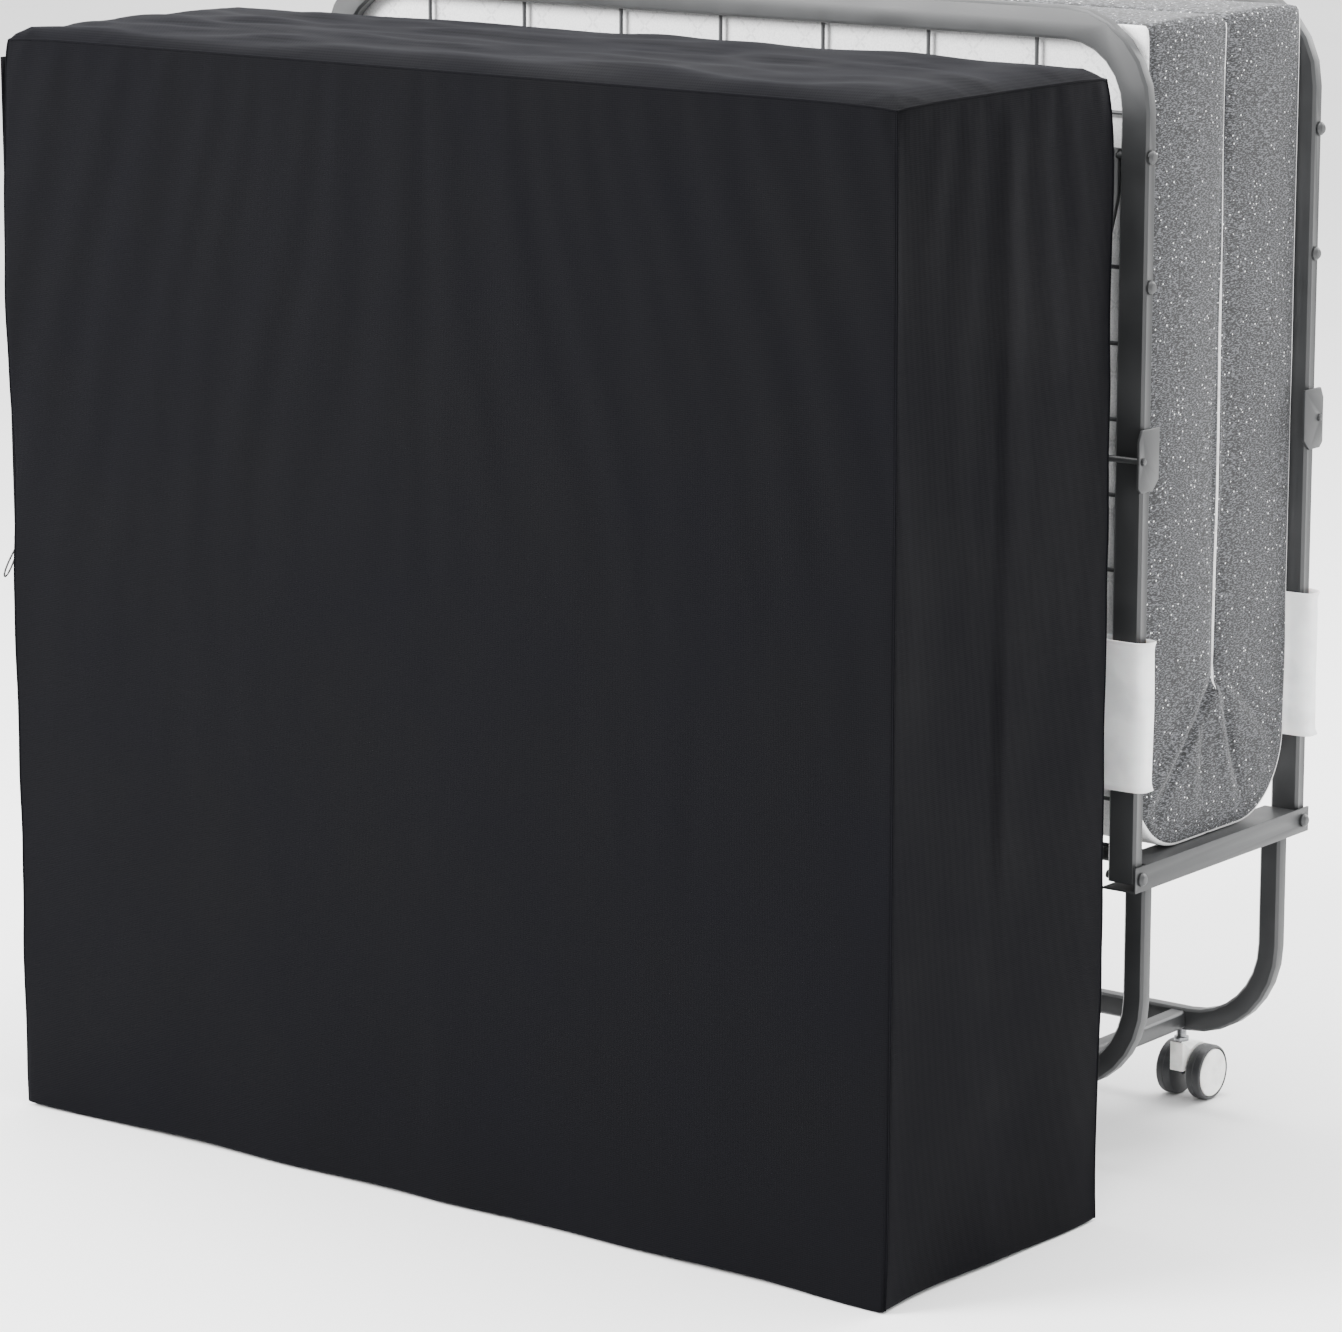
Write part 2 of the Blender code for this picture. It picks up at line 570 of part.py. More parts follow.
def build_end_leg(end, name, half_axis, y, height):
    axis = add_axis(f"{name}_leg_axis", (0, y - half_axis.location.y, height - half_axis.location.z))
    axis.parent = half_axis
    sole = height - END_LEG_LENGTH + END_LEG_WIDTH / 2
    knee, ankle = height - END_LEG_KNEE, sole + END_LEG_BEND_RADIUS + END_LEG_ANKLE
    foot_x = END_LEG_X - END_LEG_TAPER
    arm = [(END_LEG_X, height + END_LEG_HEAD), (END_LEG_X, knee), (foot_x, ankle), (foot_x, sole)]
    corners = [(-x, y, z) for x, z in arm] + [(x, y, z) for x, z in reversed(arm)]
    path = bent_path(corners, END_LEG_BEND_RADIUS, 4)
    shape = tube(path, (0, 1, 0), END_LEG_WIDTH, END_LEG_DEPTH)
    leg = add_part(f"{name}_end_leg", shape, "frame_paint", axis)
    for side in (-1, 1):
        start = (side * (END_LEG_X - END_LEG_WIDTH), y, height)
        through = (side * (END_LEG_X + END_LEG_WIDTH), y, height)
        cut(leg, rod(BOLT_RADIUS + END_LEG_BORE_GAP, start, through))


def build_saddle(end, side, place, axis):
    """A plate on the side tube's outer face, held by a round-headed pin across the tube."""
    height = PIVOT_HEIGHT + SADDLE
    outer = BED_FRONT + 2 * PIN_RADIUS + SADDLE_LIP
    inner = PIVOT_Y - SIDE_TUBE_DEPTH / 2 - SADDLE_REACH
    low, high = height - SADDLE_HEIGHT / 2, height + SADDLE_HEIGHT / 2
    chamfer = SADDLE_CHAMFER
    outline = [
        (outer, low + chamfer / 2), (outer, high - chamfer), (outer - chamfer / 2, high), (inner, high),
        (inner, low + chamfer), (inner + chamfer, low), (outer - chamfer / 2, low),
    ]
    plate_x = side * (TUBE_OUTER + CLEARANCE)
    points = [(plate_x, BED_Y + end * py, pz) for py, pz in outline]
    plate = add_part(f"{place}_saddle", prism(points, (side * SADDLE_WALL, 0, 0)), "frame_paint", axis)
    pin_y = BED_Y + end * (BED_FRONT + CLEARANCE + PIN_RADIUS)
    outside = plate_x + side * (SADDLE_WALL + PIN_END)
    start, through = (plate_x - side * OVERCUT, pin_y, height), (outside + side * OVERCUT, pin_y, height)
    cut(plate, rod(PIN_RADIUS + RUNNING_CLEARANCE, start, through))
    tip = PIN_LENGTH + PIN_HEAD_HEIGHT
    profile = [
        (0, 0), (PIN_RADIUS, 0), (PIN_RADIUS, PIN_LENGTH),
        (PIN_HEAD_RADIUS, PIN_LENGTH + PIN_HEAD_HEIGHT / 7),
        (PIN_HEAD_RADIUS, tip - PIN_HEAD_HEIGHT * 2 / 7), (PIN_RADIUS, tip), (0, tip),
    ]
    shape = turned(profile, (outside, pin_y, height), (-side, 0, 0), SMALL_ROUND_STEPS)
    add_part(f"{place}_saddle_pin", shape, "frame_paint", axis)


def build_sleeve(y, side, place, axis):
    """A fabric sleeve round the side tube."""
    low = PIVOT_HEIGHT + SLEEVE_BOTTOM
    inner_x, inner_y = SIDE_TUBE_WIDTH / 2 + CLEARANCE, SIDE_TUBE_DEPTH / 2 + CLEARANCE
    outer_x, outer_y = inner_x + SLEEVE_WALL, inner_y + SLEEVE_WALL
    x = side * TUBE_X
    high = low + SLEEVE_LENGTH
    shape = block((x - outer_x, y - outer_y, low), (x + outer_x, y + outer_y, high))
    sleeve = add_part(f"{place}_sleeve", shape, "white_cotton", axis)
    hollow = block((x - inner_x, y - inner_y, low - OVERCUT), (x + inner_x, y + inner_y, high + OVERCUT))
    cut(sleeve, hollow)


def build_mattress_fold():
    """The bottom of the doubled mattress, rounded along both lower edges."""
    steps = 6
    quarter = [math.pi / 2 * step / steps for step in range(steps + 1)]
    centre_y, centre_z = MATTRESS_OUTER - FOLD_RADIUS, MATTRESS_BOTTOM + FOLD_RADIUS
    right = [(centre_y + FOLD_RADIUS * math.sin(a), centre_z - FOLD_RADIUS * math.cos(a)) for a in quarter]
    outline = right + [(MATTRESS_OUTER, SPLIT_HEIGHT), (-MATTRESS_OUTER, SPLIT_HEIGHT)]
    outline += [(-py, pz) for py, pz in reversed(right)]
    points = [(-MATTRESS_WIDTH / 2, BED_Y + py, pz) for py, pz in outline]
    add_part("mattress_fold", prism(points, (MATTRESS_WIDTH, 0, 0)), "mattress_tweed")


# ---- storage cover ----

def build_cover():
    half, wall_top = COVER_WIDTH / 2, COVER_HEIGHT - COVER_WALL - CLEARANCE
    inside = half - COVER_WALL
    axis = add_axis("cover_axis", (0, COVER_FRONT + COVER_DEPTH / 2, 0))
    side_front, side_rear = COVER_FRONT + COVER_WALL + CLEARANCE, COVER_REAR - COVER_WALL - CLEARANCE
    panels = {
        "cover_front": ((-half, COVER_FRONT, COVER_HEM), (half, COVER_FRONT + COVER_WALL, wall_top)),
        "cover_rear": ((-half, COVER_REAR - COVER_WALL, COVER_HEM), (half, COVER_REAR, wall_top)),
        "cover_left": ((-half, side_front, COVER_HEM), (-inside, side_rear, wall_top)),
        "cover_right": ((inside, side_front, COVER_HEM), (half, side_rear, wall_top)),
        "cover_top": ((-half, COVER_FRONT, COVER_HEIGHT - COVER_WALL), (half, COVER_REAR, COVER_HEIGHT)),
    }
    for name, (low, high) in panels.items():
        add_part(name, block(low, high), "cover_fabric", axis)
    build_zip(-half, axis)


def build_zip(face_x, axis):
    middle = COVER_FRONT + ZIP_INSET
    outside = face_x - ZIP_TAPE_GAP
    slide = add_axis("zip_slider_axis", (outside, middle - axis.location.y, ZIP_SLIDER_HEIGHT))
    slide.parent = axis
    body, pull = ZIP_SLIDER_WIDTH / 2, ZIP_PULL_WIDTH / 2
    bottom = ZIP_SLIDER_HEIGHT - ZIP_PULL_LENGTH
    outline = [
        (-body, ZIP_SLIDER_HEIGHT), (body, ZIP_SLIDER_HEIGHT), (body, ZIP_SLIDER_HEIGHT + ZIP_BODY_LENGTH),
        (-body, ZIP_SLIDER_HEIGHT + ZIP_BODY_LENGTH),
    ]
    tongue = [(pull, ZIP_SLIDER_HEIGHT), (pull, bottom + pull), (pull / 2, bottom), (-pull / 2, bottom),
              (-pull, bottom + pull), (-pull, ZIP_SLIDER_HEIGHT)]
    outline = [outline[3], outline[0], *reversed(tongue), outline[1], outline[2]]
    points = [(outside, middle + py, pz) for py, pz in outline]
    add_part("zip_slider", prism(points, (-ZIP_SLIDER_THICKNESS, 0, 0)), "zinc_steel", slide)


def main():
    clear_scene()
    build_rails()
    build_base()
    build_pivot_bolts()
    for end, name in ((-1, "front"), (1, "rear")):
        for side in (-1, 1):
            build_caster(end, side, f"{name}_{side_name(side)}_caster")
        build_half(end, name)
    build_mattress_fold()
    build_cover()


main()
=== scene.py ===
# Looks for the folding rollaway bed and its storage cover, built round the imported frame.
import json
import math

import bmesh
import bpy
from mathutils import Matrix, Vector, noise


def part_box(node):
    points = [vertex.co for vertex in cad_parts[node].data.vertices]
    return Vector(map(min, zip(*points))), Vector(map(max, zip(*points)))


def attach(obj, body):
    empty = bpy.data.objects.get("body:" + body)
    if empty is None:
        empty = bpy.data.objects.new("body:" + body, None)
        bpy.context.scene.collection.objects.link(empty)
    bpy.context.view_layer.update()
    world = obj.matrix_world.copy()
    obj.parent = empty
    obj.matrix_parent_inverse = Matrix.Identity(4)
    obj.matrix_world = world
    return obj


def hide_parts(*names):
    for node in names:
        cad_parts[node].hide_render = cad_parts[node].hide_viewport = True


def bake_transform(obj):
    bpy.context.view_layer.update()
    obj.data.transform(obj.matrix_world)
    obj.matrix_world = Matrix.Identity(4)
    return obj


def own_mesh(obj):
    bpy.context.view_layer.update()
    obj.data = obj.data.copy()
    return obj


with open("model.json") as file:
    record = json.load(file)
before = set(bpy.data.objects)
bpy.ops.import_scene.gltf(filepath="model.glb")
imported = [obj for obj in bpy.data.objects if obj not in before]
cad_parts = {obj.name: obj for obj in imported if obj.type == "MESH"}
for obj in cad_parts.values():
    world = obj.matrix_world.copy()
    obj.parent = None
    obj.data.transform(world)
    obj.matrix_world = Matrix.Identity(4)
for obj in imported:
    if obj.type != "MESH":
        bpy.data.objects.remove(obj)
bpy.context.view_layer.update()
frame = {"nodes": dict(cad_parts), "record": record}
record = frame["record"]
mm = 0.001
pivotHeight = next(joint["pos_m"][2] for joint in record["behaviour"]["joints"]
                   if joint["name"] == "front_unfold")
print("frame loaded")


# sRGB hex to linear
def hexColour(text):
    parts = [int(text[i:i + 2], 16) / 255 for i in (1, 3, 5)]
    return tuple(c / 12.92 if c <= 0.04045 else ((c + 0.055) / 1.055) ** 2.4 for c in parts) + (1.0,)


def addNode(tree, kind, settings=None, inputs=None):
    node = tree.nodes.new(kind)
    for key, value in (settings or {}).items():
        setattr(node, key, value)
    for key, value in (inputs or {}).items():
        if isinstance(value, bpy.types.NodeSocket):
            tree.links.new(value, node.inputs[key])
        else:
            node.inputs[key].default_value = value
    return node


def newMaterial(name, shaderValues):
    material = bpy.data.materials.new(name)
    material.use_nodes = True
    tree = material.node_tree
    shader = tree.nodes["Principled BSDF"]
    for key, value in shaderValues.items():
        shader.inputs[key].default_value = value
    return material, tree, shader


# Object coordinates, so that one pattern unit is size metres along each axis
def placeOn(tree, size, turn=(0, 0, 0)):
    where = addNode(tree, "ShaderNodeTexCoord")
    scale = tuple(1 / s for s in size)
    mapping = addNode(tree, "ShaderNodeMapping", {}, {"Vector": where.outputs["Object"], "Scale": scale})
    mapping.inputs["Rotation"].default_value = turn
    return mapping.outputs["Vector"]


def ramp(tree, factor, stops):
    node = addNode(tree, "ShaderNodeValToRGB", {}, {"Fac": factor})
    band = node.color_ramp
    while len(band.elements) < len(stops):
        band.elements.new(0.5)
    for element, (place, colour) in zip(band.elements, stops):
        element.position = place
        element.color = hexColour(colour) if isinstance(colour, str) else (colour, colour, colour, 1)
    return node.outputs["Color"]


def maths(tree, operation, first, second):
    return addNode(tree, "ShaderNodeMath", {"operation": operation}, {0: first, 1: second}).outputs[0]


def mixColour(tree, factor, first, second):
    node = addNode(tree, "ShaderNodeMix", {"data_type": "RGBA"}, {0: factor, 6: first, 7: second})
    return node.outputs[2]


def bump(tree, shader, height, distance, strength):
    node = addNode(tree, "ShaderNodeBump", {}, {"Height": height, "Distance": distance, "Strength": strength})
    tree.links.new(node.outputs["Normal"], shader.inputs["Normal"])


def noiseAt(tree, vector, detail=2.0, roughness=0.5):
    values = {"Vector": vector, "Scale": 1.0, "Detail": detail, "Roughness": roughness}
    return addNode(tree, "ShaderNodeTexNoise", {}, values).outputs["Fac"]


# Powder coat on steel tube: satin, with the faint orange peel of baked powder and rubbed, lighter patches
powderCoat = {"colour": "#28292a", "worn": "#363738", "peel": 1.6 * mm, "patch": 60 * mm, "rough": 0.42}


def makePowderCoat(name, look):
    material, tree, shader = newMaterial(name, {"Metallic": 0.0, "Coat Weight": 0.12, "Coat Roughness": 0.35})
    patches = noiseAt(tree, placeOn(tree, (look["patch"],) * 3), 3.0)
    tone = ramp(tree, patches, [(0.35, look["colour"]), (0.8, look["worn"])])
    tree.links.new(tone, shader.inputs["Base Color"])
    rough = ramp(tree, patches, [(0.3, look["rough"]), (0.8, look["rough"] + 0.12)])
    tree.links.new(rough, shader.inputs["Roughness"])
    bump(tree, shader, noiseAt(tree, placeOn(tree, (look["peel"],) * 3)), 0.15 * mm, 0.35)
    return material


# Zinc-plated steel bolts and stems: bright, slightly streaked metal
zincPlate = {"colour": "#9b9c9e", "dull": "#7c7d80", "streak": (6 * mm, 6 * mm, 1 * mm)}


def makeZinc(look):
    material, tree, shader = newMaterial("zincPlatedSteel", {"Metallic": 1.0, "Roughness": 0.38})
    streaks = noiseAt(tree, placeOn(tree, look["streak"]), 4.0)
    tone = ramp(tree, streaks, [(0.3, look["dull"]), (0.7, look["colour"])])
    tree.links.new(tone, shader.inputs["Base Color"])
    tree.links.new(ramp(tree, streaks, [(0.3, 0.48), (0.7, 0.3)]), shader.inputs["Roughness"])
    return material


# Moulded nylon: clean white, fine spark-eroded texture, a little light passing through
whiteNylon = {"colour": "#f1f1ee", "shade": "#dcdcd8", "grain": 0.8 * mm, "patch": 14 * mm}


def makeNylon(look):
    values = {"Roughness": 0.36, "Subsurface Weight": 0.06, "Subsurface Scale": 0.004, "IOR": 1.53}
    material, tree, shader = newMaterial("mouldedNylon", values)
    patches = noiseAt(tree, placeOn(tree, (look["patch"],) * 3))
    tone = ramp(tree, patches, [(0.3, look["shade"]), (0.6, look["colour"])])
    tree.links.new(tone, shader.inputs["Base Color"])
    bump(tree, shader, noiseAt(tree, placeOn(tree, (look["grain"],) * 3)), 0.05 * mm, 0.25)
    return material


# Polyurethane tyre: dark grey, matt where it meets the floor, dusty in patches
tyreRubber = {"colour": "#2b2c2e", "dust": "#4a4a4b", "patch": 9 * mm, "grain": 0.9 * mm}


def makeTyre(look):
    material, tree, shader = newMaterial("tyrePolyurethane", {"IOR": 1.5})
    patches = noiseAt(tree, placeOn(tree, (look["patch"],) * 3), 5.0)
    tone = ramp(tree, patches, [(0.45, look["colour"]), (0.85, look["dust"])])
    tree.links.new(tone, shader.inputs["Base Color"])
    tree.links.new(ramp(tree, patches, [(0.4, 0.45), (0.8, 0.7)]), shader.inputs["Roughness"])
    bump(tree, shader, noiseAt(tree, placeOn(tree, (look["grain"],) * 3)), 0.08 * mm, 0.4)
    return material


# Knitted tweed ticking: grey yarns in short level streaks, with small white slubs 7 to 11 mm apart
# The yarn is 0.4 mm in the cloth, drawn at 1.1 mm so that it shows
tweed = {"dark": "#08090a", "mid": "#1e1f21", "light": "#5e5f63", "yarn": 1.1 * mm, "run": 3.6 * mm,
         "cell": 7.4 * mm, "dot": 0.115, "slub": "#f4f4f4"}


def makeTweed(look):
    values = {"Roughness": 0.95, "Sheen Weight": 0.08, "Sheen Roughness": 0.6}
    material, tree, shader = newMaterial("tweedTicking", values)
    streaks = noiseAt(tree, placeOn(tree, (look["run"], look["run"], look["yarn"])), 2.0, 0.7)
    yarns = ramp(tree, streaks, [(0.41, look["dark"]), (0.5, look["mid"]), (0.6, look["light"])])
    cells = addNode(tree, "ShaderNodeTexVoronoi", {"voronoi_dimensions": "3D"},
                    {"Vector": placeOn(tree, (look["cell"],) * 3), "Scale": 1.0, "Randomness": 0.85})
    slubs = maths(tree, "LESS_THAN", cells.outputs["Distance"], look["dot"])
    tree.links.new(mixColour(tree, slubs, yarns, hexColour(look["slub"])), shader.inputs["Base Color"])
    raised = maths(tree, "ADD", maths(tree, "MULTIPLY", slubs, 0.8), streaks)
    bump(tree, shader, raised, 0.4 * mm, 0.6)
    return material


# White brushed polyester, quilted in dotted diagonal lines about 45 mm apart
quilting = {"colour": "#efefef", "shade": "#d9d9da", "stitching": "#b9b9bb", "pitch": 45 * mm,
            "stitch": 9 * mm, "thread": 1.1 * mm, "gap": 1.4 * mm, "fuzz": 1.5 * mm}


def makeQuilt(look):
    values = {"Roughness": 0.9, "Sheen Weight": 0.2, "Sheen Roughness": 0.5}
    material, tree, shader = newMaterial("quiltedPolyester", values)
    lines = []
    for turn in (math.radians(45), math.radians(-45)):
        split = addNode(tree, "ShaderNodeSeparateXYZ", {}, {0: placeOn(tree, (1, 1, 1), (0, turn, 0))})
        away = maths(tree, "PINGPONG", split.outputs[0], look["pitch"] / 2)
        thread = maths(tree, "LESS_THAN", away, look["thread"])
        along = maths(tree, "PINGPONG", split.outputs[2], look["stitch"] / 2)
        gap = maths(tree, "GREATER_THAN", along, look["gap"])
        lines.append(maths(tree, "MULTIPLY", thread, gap))
    stitches = maths(tree, "MAXIMUM", lines[0], lines[1])
    fuzz = noiseAt(tree, placeOn(tree, (look["fuzz"],) * 3), 4.0)
    base = ramp(tree, fuzz, [(0.3, look["shade"]), (0.6, look["colour"])])
    tone = mixColour(tree, maths(tree, "MULTIPLY", stitches, 0.45), base, hexColour(look["stitching"]))
    tree.links.new(tone, shader.inputs["Base Color"])
    height = maths(tree, "SUBTRACT", maths(tree, "MULTIPLY", fuzz, 0.25), stitches)
    bump(tree, shader, height, 0.8 * mm, 0.6)
    return material


# Spun-bonded polypropylene: white, embossed with a fine regular dot
spunBond = {"colour": "#f3f3f3", "shade": "#dededf", "dot": 2.4 * mm, "patch": 30 * mm}


def makeSpunBond(look):
    values = {"Roughness": 0.85, "Subsurface Weight": 0.08, "Subsurface Scale": 0.004}
    material, tree, shader = newMaterial("spunBondCloth", values)
    patches = noiseAt(tree, placeOn(tree, (look["patch"],) * 3), 3.0)
    tone = ramp(tree, patches, [(0.3, look["shade"]), (0.6, look["colour"])])
    tree.links.new(tone, shader.inputs["Base Color"])
    cells = addNode(tree, "ShaderNodeTexVoronoi", {},
                    {"Vector": placeOn(tree, (look["dot"],) * 3), "Scale": 1.0, "Randomness": 0.1})
    bump(tree, shader, cells.outputs["Distance"], 0.25 * mm, 0.4)
    return material


# Woven polyester, dyed near black with a cool cast: plain weave under a thin matt coating.
# The threads are 0.4 mm apart, drawn at 1.8 mm so that they show; broad patches vary the sheen
coverCloth = {"colour": "#040406", "light": "#07070a", "thread": 1.8 * mm, "patch": 140 * mm,
              "crease": 35 * mm}


def makeCoverCloth(look):
    values = {"Sheen Weight": 0.03, "Sheen Roughness": 0.4, "Sheen Tint": hexColour("#8d8fa3"),
              "Specular IOR Level": 0.04}
    material, tree, shader = newMaterial("wovenPolyester", values)
    patches = noiseAt(tree, placeOn(tree, (look["patch"],) * 3), 5.0, 0.6)
    tone = ramp(tree, patches, [(0.3, look["colour"]), (0.75, look["light"])])
    tree.links.new(tone, shader.inputs["Base Color"])
    tree.links.new(ramp(tree, patches, [(0.3, 0.62), (0.75, 0.78)]), shader.inputs["Roughness"])
    where = addNode(tree, "ShaderNodeSeparateXYZ", {}, {0: placeOn(tree, (1, 1, 1))})
    sides = maths(tree, "ADD", where.outputs[0], where.outputs[1])
    rows = [maths(tree, "PINGPONG", socket, look["thread"] / 2) for socket in (sides, where.outputs[2])]
    weave = maths(tree, "MULTIPLY", maths(tree, "ADD", rows[0], rows[1]), 0.5)
    crease = maths(tree, "MULTIPLY", noiseAt(tree, placeOn(tree, (look["crease"],) * 3), 3.0), 1.2 * mm)
    bump(tree, shader, maths(tree, "ADD", weave, crease), 1.0, 0.32)
    return material


def makeFloor():
    material, tree, shader = newMaterial("paleFloor", {"Roughness": 0.7})
    cloud = noiseAt(tree, placeOn(tree, (1.5, 1.5, 1.5)))
    tree.links.new(ramp(tree, cloud, [(0.3, "#f4f4f4"), (0.7, "#fafafa")]), shader.inputs["Base Color"])
    return material


paint = makePowderCoat("powderCoatedSteel", powderCoat)
wirePaint = makePowderCoat("powderCoatedWire", {**powderCoat, "colour": "#38393b", "peel": 1.0 * mm})
zinc = makeZinc(zincPlate)
nylon = makeNylon(whiteNylon)
rubber = makeTyre(tyreRubber)
ticking = makeTweed(tweed)
quilt = makeQuilt(quilting)
sleeveCloth = makeSpunBond(spunBond)
cloth = makeCoverCloth(coverCloth)
zipTapeLook = {"colour": "#0c0c0e", "light": "#17171a", "thread": 1.2 * mm}
zipTapeCloth = makeCoverCloth({**coverCloth, **zipTapeLook})
zipLook = {"colour": "#101012", "worn": "#2a2a2c", "rough": 0.3}
zipMetal = makePowderCoat("blackPaintedZinc", {**powderCoat, **zipLook})
print("materials made")


# A bmesh becomes a finished piece that rides on a body
def addPiece(name, shape, materials, body, smoothAngle=None, fixNormals=True):
    if fixNormals:
        bmesh.ops.recalc_face_normals(shape, faces=shape.faces)
    mesh = bpy.data.meshes.new(name)
    shape.to_mesh(mesh)
    shape.free()
    for material in materials if isinstance(materials, (list, tuple)) else [materials]:
        mesh.materials.append(material)
    if smoothAngle is not None:
        mesh.shade_smooth()
        mesh.set_sharp_from_angle(angle=math.radians(smoothAngle))
    piece = bpy.data.objects.new(name, mesh)
    bpy.context.scene.collection.objects.link(piece)
    if body:
        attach(piece, body)
    return piece


# A merged copy of a CAD node's mesh, its triangles joined back into flat faces
def copyOfNode(node):
    shape = bmesh.new()
    source = frame["nodes"][node]
    shape.from_mesh(source.data)
    bmesh.ops.transform(shape, matrix=source.matrix_world, verts=shape.verts)
    bmesh.ops.remove_doubles(shape, verts=shape.verts, dist=0.00002)
    bmesh.ops.dissolve_limit(shape, angle_limit=math.radians(1), verts=shape.verts, edges=shape.edges)
    return shape


def corners(node):
    return (Vector(corner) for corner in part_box(node))


def roundEdges(shape, width, segments, sharperThan=30):
    edges = [edge for edge in shape.edges if edge.is_manifold
             and edge.calc_face_angle(0) > math.radians(sharperThan)]
    bmesh.ops.bevel(shape, geom=edges, offset=width, segments=segments, profile=0.5, affect="EDGES",
                    material=-1, clamp_overlap=True)


nodeBody = {node: body for body, nodes in record["behaviour"]["bodies"].items() for node in nodes}


# A CAD node of the right shape, with its edges rounded as bending, welding or moulding leaves them
def refineNode(node, material, width, segments=2, sharperThan=30):
    shape = copyOfNode(node)
    roundEdges(shape, width, segments, sharperThan)
    piece = addPiece(node + "_finished", shape, material, nodeBody[node], 40, False)
    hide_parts(node)
    return piece


def cylinderBetween(shape, start, end, radius, steps=10):
    start, end = Vector(start), Vector(end)
    along = end - start
    turn = Vector((0, 0, 1)).rotation_difference(along)
    matrix = Matrix.Translation((start + end) / 2) @ turn.to_matrix().to_4x4()
    bmesh.ops.create_cone(shape, cap_ends=True, segments=steps, radius1=radius, radius2=radius,
                          depth=along.length, matrix=matrix)


# Spins (radius, distance) points about an axis
def turnedShape(profile, centre, axis, steps):
    axis, centre = Vector(axis).normalized(), Vector(centre)
    side = axis.orthogonal().normalized()
    shape = bmesh.new()
    points = [shape.verts.new(centre + side * radius + axis * along) for radius, along in profile]
    edges = [shape.edges.new(pair) for pair in zip(points, points[1:])]
    bmesh.ops.spin(shape, geom=points + edges, cent=centre, axis=axis, angle=math.tau, steps=steps,
                   use_merge=True)
    bmesh.ops.remove_doubles(shape, verts=shape.verts, dist=0.00001)
    return shape


def blockAt(shape, centre, size):
    matrix = Matrix.Translation(centre) @ Matrix.Diagonal((*size, 1))
    bmesh.ops.create_cube(shape, size=1.0, matrix=matrix)


def sphereAt(shape, place, radius):
    bmesh.ops.create_icosphere(shape, subdivisions=1, radius=radius, matrix=Matrix.Translation(place))


# Floor, camera and lights first
floor = {"size": 14.0}
shape = bmesh.new()
bmesh.ops.create_grid(shape, x_segments=1, y_segments=1, size=floor["size"])
mesh = bpy.data.meshes.new("floor")
shape.to_mesh(mesh)
shape.free()
mesh.materials.append(makeFloor())
floorPiece = bpy.data.objects.new("floor", mesh)
bpy.context.scene.collection.objects.link(floorPiece)

camera = {"azimuth": 37.46, "dip": 12.15, "distance": 4.628, "lens": 142.0, "aimX": 0.280, "aimZ": 0.546}


def placeCamera():
    data = bpy.data.cameras.new("studioCamera")
    view = bpy.data.objects.new("studioCamera", data)
    bpy.context.scene.collection.objects.link(view)
    data.sensor_width = 36
    data.lens = camera["lens"]
    turn, dip = math.radians(camera["azimuth"]), math.radians(camera["dip"])
    back = Vector((math.sin(turn) * math.cos(dip), -math.cos(turn) * math.cos(dip), math.sin(dip)))
    aim = Vector((camera["aimX"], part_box("cover_front")[0][1], camera["aimZ"]))
    view.location = aim + back * camera["distance"]
    view.rotation_euler = (-back).to_track_quat("-Z", "Y").to_euler()
    bpy.context.scene.camera = view


world = {"colour": (1, 1, 1, 1), "strength": 2.0}
lights = {
    "key": {"at": (-2.6, -4.0, 3.0), "size": 2.6, "power": 820},
    "top": {"at": (0.2, 0.3, 4.2), "size": 3.0, "power": 320},
    "back": {"at": (1.5, 4.0, 2.6), "size": 2.5, "power": 150},
}


def placeLights():
    for name, look in lights.items():
        data = bpy.data.lights.new(name, "AREA")
        data.shape = "DISK"
        data.size = look["size"]
        data.energy = look["power"]
        lamp = bpy.data.objects.new(name, data)
        bpy.context.scene.collection.objects.link(lamp)
        lamp.location = look["at"]
        lamp.rotation_euler = (Vector((0, 0, 0.5)) - Vector(look["at"])).to_track_quat("-Z", "Y").to_euler()
    studio = bpy.data.worlds.new("studio")
    bpy.context.scene.world = studio
    studio.use_nodes = True
    background = studio.node_tree.nodes["Background"]
    background.inputs["Color"].default_value = world["colour"]
    background.inputs["Strength"].default_value = world["strength"]


placeCamera()
placeLights()
print("studio set")

# Frame tubes, rails, brackets and fasteners keep their shape and gain rounded edges
for node in ("left_tie_tube", "right_tie_tube", "front_base_bar", "rear_base_bar", "front_base_leg",
             "rear_base_leg", "front_loop", "rear_loop", "front_end_leg", "rear_end_leg"):
    refineNode(node, paint, 0.9 * mm)
for node in ("left_rail", "right_rail"):
    refineNode(node, paint, 0.7 * mm)
for end in ("front", "rear"):
    for side in ("left", "right"):
        refineNode(f"{end}_{side}_saddle", paint, 0.7 * mm)
        refineNode(f"{end}_{side}_saddle_pin", paint, 0.4 * mm)
        refineNode(f"{end}_{side}_caster_stem", zinc, 0.5 * mm)
        for bolt in ("pivot_bolt", "leg_bolt", "deck_bolt"):
            refineNode(f"{end}_{side}_{bolt}", paint, 0.4 * mm)
print("frame finished")

# Wire decks: drawn wire, spot welded where it crosses
deckWire = {"radius": 2.0 * mm, "steps": 10, "weld": 2.6 * mm}


